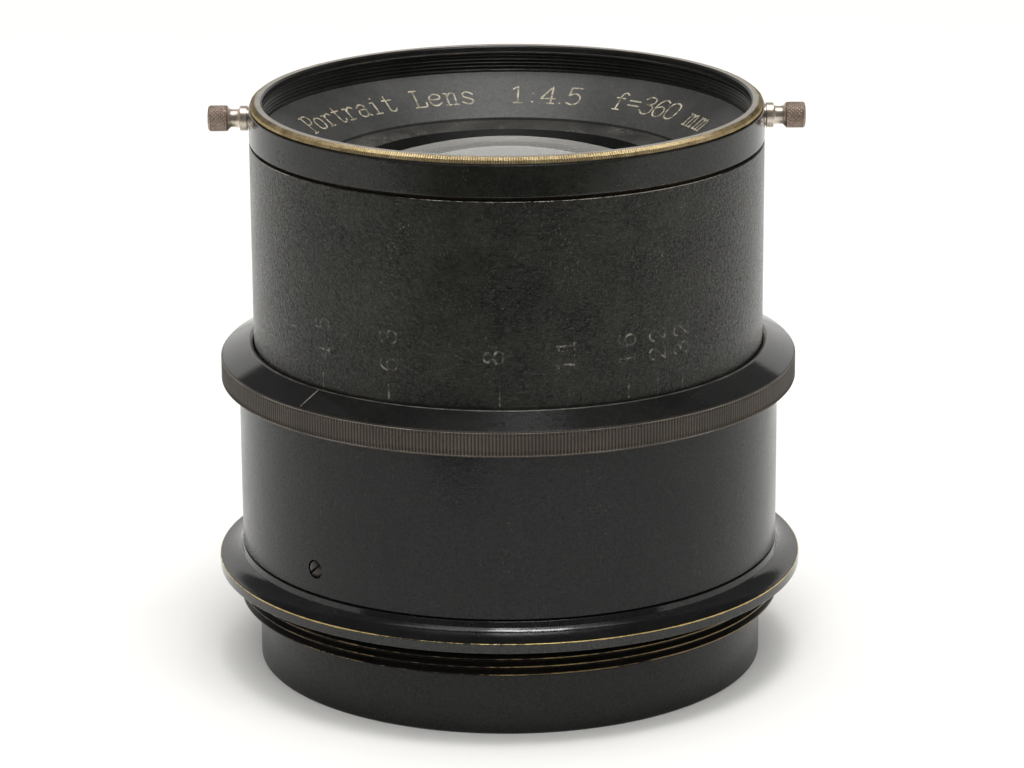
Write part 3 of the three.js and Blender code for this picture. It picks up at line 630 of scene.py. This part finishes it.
# Partly old paint, partly painted glints: the light strokes of the aperture scale and its marks.
SCALE_FILL_AND_GLINT = filled("scale_fill_and_glint", (0.17, 0.16, 0.125), (0.012, 0.012, 0.010), 0.78)
INDEX_FILL = filled("index_fill", (0.17, 0.155, 0.125), (0.05, 0.045, 0.035), 0.2)

# ---------------------------------------------------------------- plain turned rings

RING_TOP_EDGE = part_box("mount_thread_sleeve")[0].z / MM
LIP_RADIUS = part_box("flange_collar")[1].x / MM
LIP_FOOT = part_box("flange_collar")[0].z / MM
COLLAR_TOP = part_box("front_collar")[1].z / MM


def rear_ring_rub(radius, height):
    """The rear ring is rubbed most at its top edge, just under the thread."""
    return 1 if height > RING_TOP_EDGE - 1 else 0.25


def lip_rub(radius, height):
    """Only the upper edge of the flange's lip is rubbed."""
    return height > LIP_FOOT + 1 if radius > LIP_RADIUS - 1 else 0


def collar_rub(radius, height):
    return 0.5 if height > COLLAR_TOP - 1 else 0.7


def light_rub(radius, height):
    return 0.5


def keeper_rub(radius, height):
    return 0.6


# Each ring: node, material, slot, size of its rounded edges, and how much wear a corner gets.
RINGS = (
    ("rear_ring", RING_BLACK, "black_paint", 0.25, rear_ring_rub),
    ("rear_cell", RING_BLACK, "black_paint", 0.2, light_rub),
    ("rear_retaining_ring", KEEPER_BLACK, "black_paint", 0.15, light_rub),
    ("middle_cell", DARK_BRASS, "dark_brass", 0.2, light_rub),
    ("middle_retaining_ring", DARK_BRASS, "dark_brass", 0.15, light_rub),
    ("front_retaining_ring", KEEPER_BLACK, "black_paint", 0.15, keeper_rub),
    ("flange_collar", FLANGE_BLACK, "satin_paint", 0.3, lip_rub),
    ("front_collar", COLLAR_BLACK, "black_paint", 0.25, collar_rub),
)
BEHAVIOUR = frame["record"]["behaviour"]
BODY_OF = {n: b for b, nodes in BEHAVIOUR["bodies"].items() for n in nodes}

for node, material, slot, edge, rub in RINGS:
    ring = revolved(node + "_turned", rounded(section_of(node), edge, rub=rub))
    dressed(ring, material, slot, BODY_OF[node], node)
    if node == "front_retaining_ring":
        keeper = ring

# The keeper's bevel, which slopes down to the glass, is blacker than its top.
keeper.data.materials.append(BEVEL_BLACK)
for face in keeper.data.polygons:
    if 0.1 < face.normal.z < 0.95:
        face.material_index = 1

# ---------------------------------------------------------------- glass


def lens_rows(node, steps=24):
    """A lens outline from the axis round to the axis. The CAD lens has few points on each surface,
    so the sphere through the middle and the rim of each is drawn again with more."""
    corners = section_of(node)
    rim = max(r for r, _ in corners)
    centre_line = [z for r, z in corners if r < 0.01]
    edge_line = [z for r, z in corners if rim - r < 0.02]
    rows = []
    below = (min(centre_line), min(edge_line), 1)
    above = (max(centre_line), max(edge_line), -1)
    for middle, side, order in (below, above):
        sag = side - middle
        curve = (rim * rim + sag * sag) / (2 * abs(sag)) if abs(sag) > 1e-3 else 1e6
        points = []
        for k in range(steps + 1):
            r = rim * k / steps
            fall = curve - math.sqrt(curve * curve - r * r)
            points.append([r, middle + math.copysign(fall, sag), 0, 0])
        rows.extend(points[::order])
    return rows


for node in sorted(frame["nodes"]):
    if node.endswith("_element"):
        body = revolved(node + "_polished", lens_rows(node), 192)
        dressed(body, FLINT_GLASS if "flint" in node else CROWN_GLASS, "optical_glass", BODY_OF[node], node)

# ---------------------------------------------------------------- lower barrel and its lock screws

LOCK_SCREWS = [n for n in sorted(frame["nodes"]) if n.startswith("lock_screw")]
SCREW_HOLE = 2.6
SCREW_HEAD = 2.45
SCREW_DROP = 0.2
SLOT_WIDTH = 0.6
SLOT_DEPTH = 0.9
SLOT_TURN = 40
SCREW_LENGTH = 7
HOLE_DEPTH = 6
CLEAR = 2


def place_of(node):
    """The azimuth and the height of a node's middle."""
    low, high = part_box(node)
    middle = (low + high) / 2
    return math.degrees(math.atan2(middle.x, -middle.y)), middle.z / MM


def circle(radius, steps):
    turns = [2 * math.pi * k / steps for k in range(steps)]
    return [(radius * math.cos(turn), radius * math.sin(turn)) for turn in turns]


lower_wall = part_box("lower_barrel")[1].x / MM
screw_height = place_of(LOCK_SCREWS[0])[1]
barrel = rounded(section_of("lower_barrel"), 0.3, rub=lambda r, z: 0.3)
barrel = with_rows(barrel, lower_wall, screw_height - 5, screw_height + 5, 10)
lower = revolved("lower_barrel_turned", barrel)
dressed(lower, SATIN_BLACK, "satin_paint", "barrel", "lower_barrel")
for node in LOCK_SCREWS:
    out = outward_frame(*place_of(node))
    cut_away(lower, [block("hole", circle(SCREW_HOLE, 32), lower_wall - HOLE_DEPTH, lower_wall + CLEAR, out)])
for node in LOCK_SCREWS:
    azimuth, height = place_of(node)
    out = outward_frame(azimuth, height) @ Matrix.Rotation(math.radians(SLOT_TURN), 4, "Z")
    top = lower_wall - SCREW_DROP
    foot = top - SCREW_LENGTH
    head = [(0, foot), (SCREW_HEAD, foot), (SCREW_HEAD, top - 0.3), (SCREW_HEAD - 0.25, top)]
    head += [(0.7 * SCREW_HEAD, top + 0.32), (0.35 * SCREW_HEAD, top + 0.5), (0, top + 0.55)]
    screw = revolved(node + "_slotted", rounded(head, 0.1, 0.15), 64, place=out)
    reach, side = SCREW_HEAD + 1, SLOT_WIDTH / 2
    slot_outline = [(-reach, -side), (reach, -side), (reach, side), (-reach, side)]
    cut_away(screw, [block("slot", slot_outline, top - SLOT_DEPTH, top + CLEAR, out)])
    dressed(screw, SCREW_STEEL, "screw_steel", BODY_OF[node], node)

# ---------------------------------------------------------------- mount thread

THREAD_PITCH = 2.2
THREAD_CREST = 74.9
THREAD_ROOT = 73.5
THREAD_FIRST = 18.8
THREAD_LAST = 24.4
RELIEF = 72.3
SLEEVE_BORE = 68.9


def mount_thread(angle, height):
    """A 60 degree thread, one turn per pitch, that fades into the relief behind it."""
    phase = (height - THREAD_FIRST) / THREAD_PITCH - angle / (2 * np.pi) + 0.5
    ridge = np.clip(1.12 - 2.24 * np.abs(phase - np.floor(phase) - 0.5), 0, 1)
    fade = np.clip((THREAD_LAST - height) / 0.5, 0, 1)
    reach = (THREAD_ROOT - RELIEF + ridge * (THREAD_CREST - THREAD_ROOT)) * fade
    return reach, np.clip((ridge - 0.9) * 14, 0, 1) * fade * 0.85


sleeve_foot, sleeve_top = (v.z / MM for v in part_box("mount_thread_sleeve"))
sleeve_rows = [
    [SLEEVE_BORE, sleeve_foot, 0, 0],
    [RELIEF, sleeve_foot, 0, 1],
    [RELIEF, sleeve_top, 0, 1],
    [SLEEVE_BORE, sleeve_top, 0, 0],
]
sleeve = revolved("mount_thread_cut", with_rows(sleeve_rows, RELIEF, 0, 99, 0.12), ROUND, mount_thread)
dressed(sleeve, THREAD_BLACK, "dark_brass", "barrel", "mount_thread_sleeve")

# ---------------------------------------------------------------- upper barrel and its aperture scale

upper_outline = section_of("upper_barrel")
upper_top = max(z for _, z in upper_outline)
upper_wall = max(r for r, z in upper_outline if z > upper_top - 0.1)
upper = revolved("upper_barrel_turned", rounded(upper_outline, 0.25, 0.7))
dressed(upper, BARREL_BLACK, "black_paint", "barrel", "upper_barrel")

# The slot in the wall behind the aperture ring, as long as the drive pin's travel.
DRIVE_SLOT_WIDTH = 4.0
pin_azimuth, pin_height = place_of("aperture_drive_pin")
aperture_joint = next(j for j in BEHAVIOUR["joints"] if j["name"] == "aperture_turn")
aperture_travel = aperture_joint["range_deg"][1]
end_margin = math.degrees(DRIVE_SLOT_WIDTH / 2 / upper_wall)
sector = []
for radius, direction in ((upper_wall - 9, 1), (upper_wall + 3, -1)):
    arc = np.linspace(pin_azimuth - end_margin, pin_azimuth + aperture_travel + end_margin, 40)
    turns = np.radians(arc[::direction])
    sector.extend((radius * math.sin(turn), -radius * math.cos(turn)) for turn in turns)
slot_low, slot_high = pin_height - DRIVE_SLOT_WIDTH / 2, pin_height + DRIVE_SLOT_WIDTH / 2
cut_away(upper, [block("drive_slot", sector, slot_low, slot_high)])


def on_barrel(azimuth, centre):
    """A surface function for strokes that read upwards, centred at an azimuth and a height."""

    def surface(along, across, lift):
        turn = math.radians(azimuth) - across / upper_wall
        radius = upper_wall + lift
        return Vector((radius * math.sin(turn), -radius * math.cos(turn), centre + along))

    return surface


# Each stop: its figures, their azimuth, and the azimuth of its line.
SCALE = (
    ("4.5", -44.2, -44.2),
    ("6.3", -26.5, -26.5),
    ("8", -3.1, -1.8),
    ("11", 12.2, 13.1),
    ("16", 26.2, 26.7),
    ("22", 33.9, 34.1),
    ("32", 40.5, 40.9),
)
SCALE_HEIGHT = 104.5
FIGURE_HEIGHT = 4.9
FIGURE_PITCH = 5.0
TICK_FOOT = 91.2
TICK_TOP = 95.2
DOT_HEIGHT = 96.6
POINT_STEP = 2.6
FIGURE_STROKE = 0.55
LINE_STROKE = 0.45
tick = [
    [Vector((TICK_FOOT, 0)), Vector((TICK_TOP, 0))],
    [Vector((DOT_HEIGHT, 0)), Vector((DOT_HEIGHT + 0.1, 0))],
]
for text, azimuth, line_azimuth in SCALE:
    name = "scale_" + text.replace(".", "_")
    strokes = lettered(text, FIGURE_HEIGHT, FIGURE_PITCH, {".": POINT_STEP})
    figures = inlaid(name, strokes, on_barrel(azimuth, SCALE_HEIGHT), FIGURE_STROKE)
    dressed(figures, SCALE_FILL_AND_GLINT, "black_paint", "barrel")
    line = inlaid(name + "_line", tick, on_barrel(line_azimuth, 0), LINE_STROKE)
    dressed(line, SCALE_FILL_AND_GLINT, "black_paint", "barrel")

# A letter stands before the first figures, and a zero on the turning collar.
HEADER_PLACE = (-55.7, SCALE_HEIGHT + 1)
HEADER_HEIGHT = 6
header = inlaid(
    "scale_header", lettered("f", HEADER_HEIGHT, FIGURE_PITCH), on_barrel(*HEADER_PLACE), FIGURE_STROKE
)
dressed(header, SCALE_FILL_AND_GLINT, "black_paint", "barrel")

COLLAR_MARK = (-58.6, 150.2)
MARK_HEIGHT = 4.2
collar_zero = inlaid(
    "collar_zero", lettered("0", MARK_HEIGHT, MARK_HEIGHT), on_barrel(*COLLAR_MARK), FIGURE_STROKE
)
dressed(collar_zero, SCALE_FILL_AND_GLINT, "black_paint", "soft_focus_control")

# ---------------------------------------------------------------- aperture ring

GRIP_TEETH = 536
GRIP_DEPTH = 0.22
GRIP_GAP = 0.3
GRIP_WEAR = 0.62
INDEX_AZIMUTH = -44.5
grip_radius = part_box("aperture_ring")[1].x / MM
grip_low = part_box("aperture_ring")[0].z / MM
ring_corners = section_of("aperture_ring")
ring_crown = max(ring_corners, key=lambda p: p[1])
ring_brow = max((p for p in ring_corners if grip_radius - p[0] < 0.6), key=lambda p: p[1])
grip_high = ring_brow[1]


def toothed(count, depth, worn):
    """Straight teeth with flat tops, cut depth into the wall, and how worn their tops are."""

    def shape(angle, height):
        phase = angle * count / (2 * np.pi)
        wave = np.abs((phase - np.floor(phase)) * 2 - 1)
        ridge = np.clip(wave * 2.2 - 0.6, 0, 1)
        return -depth * (1 - ridge), ridge * worn

    return shape


snug = [(upper_wall + GRIP_GAP if r < upper_wall + 1 else r, z) for r, z in ring_corners]
grip_rows = rounded(snug, 0.32, 0.3)
grip_rows = with_rows(grip_rows, grip_radius, grip_low + 0.5, grip_high - 0.3, 1.2)
for row in grip_rows:
    if abs(row[0] - grip_radius) < 0.12:
        row[3] = 1
grip_teeth = toothed(GRIP_TEETH, GRIP_DEPTH, GRIP_WEAR)
grip = revolved("aperture_ring_knurled", grip_rows, GRIP_TEETH * 6, grip_teeth)
dressed(grip, GRIP_BLACK, "black_paint", "aperture_control", "aperture_ring")
# Two more materials, given to faces by place: the knurl finish for the knurled wall, and a painted highlight
# along the ring's inner crown edge.
grip.data.materials.append(GRIP_KNURL)
grip.data.materials.append(CROWN_PAINTED_HIGHLIGHT)
for face in grip.data.polygons:
    centre = face.center / MM
    radius = math.hypot(centre.x, centre.y)
    if radius > grip_radius - 0.5 and centre.z < grip_high + 0.12:
        face.material_index = 1
    elif math.hypot(radius - ring_crown[0], centre.z - ring_crown[1]) < 0.3:
        face.material_index = 2


def on_ring_slope(along, across, lift):
    """Along runs outwards and down the ring's conical top from its crown, across runs round it."""
    slope = Vector(ring_brow) - Vector(ring_crown)
    share = along / slope.length
    radius = ring_crown[0] + slope.x * share
    height = ring_crown[1] + slope.y * share + lift
    turn = math.radians(INDEX_AZIMUTH) + across / radius
    return Vector((radius * math.sin(turn), -radius * math.cos(turn), height))


slope_length = (Vector(ring_brow) - Vector(ring_crown)).length
index_line = [Vector((0.6, 0)), Vector((slope_length - 0.7, 0))]
index = inlaid("aperture_index", [index_line], on_ring_slope, LINE_STROKE)
dressed(index, INDEX_FILL, "black_paint", "aperture_control")

# ---------------------------------------------------------------- front cell with its thread and lettering

FRONT_PITCH = 1.0
FRONT_DEPTH = 0.55
cell_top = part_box("front_cell")[1].z / MM
cell = section_of("front_cell")
thread_bore = min(r for r, z in cell if abs(z - cell_top) < 0.1)
cone_top = min(z for r, z in cell if abs(r - thread_bore) < 0.1)


def front_thread(angle, height):
    """The female thread for a filter or a hood, which runs on through the milled rim."""
    phase = height / FRONT_PITCH - angle / (2 * np.pi)
    ridge = np.abs((phase - np.floor(phase)) * 2 - 1)
    return FRONT_DEPTH * (1 - np.clip(ridge * 1.15, 0, 1)), np.clip((ridge - 0.9) * 6, 0, 1) * 0.35


cell_rows = with_rows(rounded(cell, 0.15), thread_bore, cone_top, cell_top, 0.125)
front = revolved("front_cell_turned", cell_rows, ROUND, front_thread)
dressed(front, CONE_BLACK, "black_paint", "barrel", "front_cell")
# The threaded bore above the cone takes the darker black, as painted shade in the thread.
front.data.materials.append(THREAD_BLACK_AND_SHADE)
for face in front.data.polygons:
    if face.center.z / MM > cone_top:
        face.material_index = 1

# The cone's foot is the widest corner that lies well below its head.
low_corners = [p for p in cell if cone_top - 12 < p[1] < cone_top - 5 and p[0] < thread_bore - 3]
CONE_FOOT = Vector(max(low_corners, key=lambda p: p[0]))
CONE_HEAD = Vector((thread_bore, cone_top))


def on_cone(along, across, lift):
    """The far inner cone, read from the front: along runs from left to right, across runs up the cone."""
    rise = (CONE_HEAD - CONE_FOOT).normalized()
    middle = CONE_FOOT.lerp(CONE_HEAD, 0.5)
    spot = middle + rise * across + Vector((-rise.y, rise.x)) * lift
    turn = along / middle.x
    return Vector((spot.x * math.sin(turn), spot.x * math.cos(turn), spot.y))


CONE_TEXT = "Portrait Lens  1:4.5  f=360 mm"
LETTER_HEIGHT = 6.3
LETTER_PITCH = 4.85
LETTER_STROKE = 0.5
LETTER_STEPS = {"m": 5.6, ".": 2.7, ":": 4.0}
cone_strokes = lettered(CONE_TEXT, LETTER_HEIGHT, LETTER_PITCH, LETTER_STEPS)
lettering = inlaid("cone_lettering", cone_strokes, on_cone, LETTER_STROKE)
dressed(lettering, CREAM_FILL, "black_paint", "barrel")

# ---------------------------------------------------------------- milled rim

RIM_TEETH = 660
RIM_DEPTH = 0.3
RIM_BEVEL = (1.0, 0.75)
RIM_MOUTH = 0.5
rim_low, rim_high = (v.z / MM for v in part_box("milled_rim"))
rim_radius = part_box("milled_rim")[1].x / MM
rim_bore = min(r for r, _ in section_of("milled_rim"))
brow = rim_radius - RIM_BEVEL[0]
rim_outline = [
    (rim_bore, rim_low),
    (rim_radius, rim_low),
    (rim_radius, rim_high - RIM_BEVEL[1]),
    (brow, rim_high),
    (rim_bore + RIM_MOUTH, rim_high),
    (rim_bore, rim_high - RIM_MOUTH),
]
rim_rows = rounded(rim_outline, 0.12, 0.1)
for row in rim_rows:
    row[2:] = [0, 1 if row[0] > brow - 0.1 else 0]
rim = revolved("milled_rim_cut", rim_rows, RIM_TEETH * 4, toothed(RIM_TEETH, RIM_DEPTH, 1))
dressed(rim, RIM_BRASS, "rim_brass", "barrel", "milled_rim")
# The rim's top face takes a lighter grey brass as a painted reflection of the bright room, and its threaded
# bore the threads' darker black as painted shade.
rim.data.materials.append(RIM_TOP_PAINTED_REFLECTION)
rim.data.materials.append(THREAD_BLACK_AND_SHADE)
for face in rim.data.polygons:
    centre = face.center / MM
    radius = math.hypot(centre.x, centre.y)
    if radius < rim_bore + RIM_MOUTH - 0.05:
        face.material_index = 2
    elif radius < brow - 0.05:
        face.material_index = 1

# ---------------------------------------------------------------- knobs

KNOB_SHOULDER = (3.4, 2.3)
KNOB_NECK = 2.45
KNOB_HEAD_LENGTH = 5.75
KNURL_STARTS = 22
KNURL_LEAD = 1.05
KNURL_DEPTH = 0.22


def diamond_knurl(angle, height):
    """Two crossing sets of slanted grooves, which leave small pyramids."""
    around = angle * KNURL_STARTS / (2 * np.pi)
    along = height / KNURL_LEAD
    ridges = []
    for phase in (around + along, around - along):
        ridges.append(np.abs((phase - np.floor(phase)) * 2 - 1))
    point = np.clip(np.minimum(*ridges) * 1.5, 0, 1)
    return -KNURL_DEPTH * (1 - point), np.clip(point * 1.3 - 0.4, 0, 1)


for node in ("knob_left", "knob_right"):
    low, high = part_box(node)
    head_radius = (high.z - low.z) / 2 / MM
    azimuth, height = place_of(node)
    tip = max(abs(low.x), abs(high.x)) / MM
    head = tip - KNOB_HEAD_LENGTH
    shoulder_radius, shoulder_length = KNOB_SHOULDER
    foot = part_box("front_collar")[1].x / MM
    outline = [
        (0, foot - 0.6),
        (shoulder_radius - 0.5, foot - 0.6),
        (shoulder_radius - 0.5, foot + 0.35),
        (shoulder_radius, foot + 0.35),
        (shoulder_radius, foot + shoulder_length),
        (shoulder_radius - 0.55, foot + shoulder_length + 0.2),
        (KNOB_NECK + 0.12, foot + shoulder_length + 0.35),
        (KNOB_NECK, foot + shoulder_length + 0.9),
        (KNOB_NECK, head - 0.8),
        (KNOB_NECK + 0.18, head - 0.35),
        (KNOB_NECK + 0.6, head),
        (head_radius - 0.35, head + 0.12),
        (head_radius, head + 0.5),
        (head_radius, tip - 0.75),
        (head_radius - 0.35, tip - 0.28),
        (head_radius * 0.6, tip - 0.09),
        (0, tip),
    ]
    rows = rounded(outline, 0.12, 0.1)
    rows = with_rows(rows, head_radius, head, tip, 0.1)
    knob = revolved(node + "_turned", rows, KNURL_STARTS * 10, diamond_knurl, outward_frame(azimuth, height))
    dressed(knob, KNOB_METAL, "knob_metal", "soft_focus_control", node)
    knob.data.materials.append(KNOB_GRIP)
    for face in knob.data.polygons:
        if abs(face.center.x) / MM > head + 0.2:
            face.material_index = 1

# ---------------------------------------------------------------- carried-over CAD nodes

CARRIED = {
    "dark_brass": DARK_BRASS,
    "screw_steel": SCREW_STEEL,
    "blade_steel": BLADE_STEEL,
    "knob_metal": KNOB_METAL,
    "black_paint": RING_BLACK,
    "satin_paint": SATIN_BLACK,
    "rim_brass": RIM_BRASS,
    "optical_glass": CROWN_GLASS,
}
for entry in frame["record"]["subparts"]:
    shown = frame["nodes"][entry["node"]]
    if not shown.hide_render:
        shown.data.materials.clear()
        shown.data.materials.append(CARRIED[entry["material_slot"]])

# ---------------------------------------------------------------- stage, light and camera

FLOOR_SIZE = 12
floor_mesh = bmesh.new()
bmesh.ops.create_grid(floor_mesh, x_segments=8, y_segments=8, size=FLOOR_SIZE / 2)
floor_data = bpy.data.meshes.new("floor")
floor_mesh.to_mesh(floor_data)
floor_mesh.free()
floor = bpy.data.objects.new("floor", floor_data)
bpy.context.scene.collection.objects.link(floor)
floor.data.materials.append(floor_paper("floor_paper"))

# The white paper's reflection ends at a height, above it the room is dark, and straight overhead is a lamp.
HORIZON = (1.0, 0.99, 0.965)
CEILING = (0.12, 0.12, 0.12)
ZENITH = (2.6, 2.6, 2.55)
PAPER_ENDS = (0.4, 0.425)
LAMP_BEGINS = (0.88, 0.985)
world = bpy.data.worlds.new("studio")
world.use_nodes = True
sky = world.node_tree
direction = sky.nodes.new("ShaderNodeTexCoord").outputs["Generated"]
height_of = sky.nodes.new("ShaderNodeSeparateXYZ")
sky.links.new(direction, height_of.inputs[0])


def turning_to(limits, above):
    """A mix of two colours that goes over to above between two heights of the direction."""
    step = sky.nodes.new("ShaderNodeMapRange")
    step.interpolation_type = "SMOOTHSTEP"
    step.inputs["From Min"].default_value, step.inputs["From Max"].default_value = limits
    sky.links.new(height_of.outputs["Z"], step.inputs["Value"])
    shade = sky.nodes.new("ShaderNodeMix")
    shade.data_type = "RGBA"
    shade.inputs["B"].default_value = (*above, 1)
    sky.links.new(step.outputs["Result"], shade.inputs["Factor"])
    return shade


room = turning_to(PAPER_ENDS, CEILING)
room.inputs["A"].default_value = (*HORIZON, 1)
whole = turning_to(LAMP_BEGINS, ZENITH)
sky.links.new(room.outputs["Result"], whole.inputs["A"])
sky.links.new(whole.outputs["Result"], sky.nodes["Background"].inputs["Color"])
bpy.context.scene.world = world
bpy.context.scene.view_settings.view_transform = "Standard"


def dark_card(name, left, right, distance, foot, height):
    """A black card that only shows in reflections, like the dark room beyond the paper's edge."""
    bm = bmesh.new()
    corners = ((left, foot), (right, foot), (right, height), (left, height))
    bm.faces.new([bm.verts.new((x, -distance, z)) for x, z in corners])
    mesh = bpy.data.meshes.new(name)
    bm.to_mesh(mesh)
    bm.free()
    card = bpy.data.objects.new(name, mesh)
    bpy.context.scene.collection.objects.link(card)
    f = Finish(name)
    f.put(f.shader.inputs["Base Color"], f.blend(f.noise(90, 2), (0.02, 0.02, 0.02), (0.03, 0.03, 0.03)))
    f.shader.inputs["Roughness"].default_value = 1.0
    f.shader.inputs["Specular IOR Level"].default_value = 0.0
    card.data.materials.append(f.material)
    card.visible_camera = False
    card.visible_diffuse = False
    card.visible_transmission = False
    card.visible_shadow = False


dark_card("room_card", -0.9, 0.9, 0.47, 0.001, 1.2)
dark_card("narrow_card", -0.125, -0.035, 0.22, 0.03, 0.5)


def lamp(name, place, aim, width, depth, energy, glossy):
    """A rectangular soft light that shines from place towards aim."""
    light = bpy.data.lights.new(name, "AREA")
    light.shape = "RECTANGLE"
    light.size = width
    light.size_y = depth
    light.energy = energy
    box = bpy.data.objects.new(name, light)
    box.location = place
    box.rotation_euler = (Vector(place) - Vector(aim)).to_track_quat("Z", "Y").to_euler()
    box.visible_glossy = glossy
    bpy.context.scene.collection.objects.link(box)


lamp("overhead_fill", (0, 0, 3), (0, 0, 0), 10, 10, 160, False)
lamp("front_fill", (0, -2.2, 1.5), (0, -0.2, 0), 2.0, 1.6, 20, False)
lamp("key", (0.12, -0.28, 1.5), (0, 0, 0.1), 0.5, 0.22, 6, True)

CAMERA_PLACE = Vector((0, -1.1022, 0.4093))
CAMERA_TILT = math.radians(73.19)
CAMERA_TURN = -0.0009
CAMERA_ROLL = -0.0062
SENSOR_WIDTH = 36
FOCAL_LENGTH = 146.26
camera = bpy.data.objects.new("camera", bpy.data.cameras.new("camera"))
bpy.context.scene.collection.objects.link(camera)
camera.data.sensor_width = SENSOR_WIDTH
camera.data.lens = FOCAL_LENGTH
aim = Matrix.Rotation(CAMERA_TURN, 4, "Z") @ Matrix.Rotation(CAMERA_TILT, 4, "X")
camera.matrix_world = Matrix.Translation(CAMERA_PLACE) @ aim @ Matrix.Rotation(CAMERA_ROLL, 4, "Z")
bpy.context.scene.camera = camera
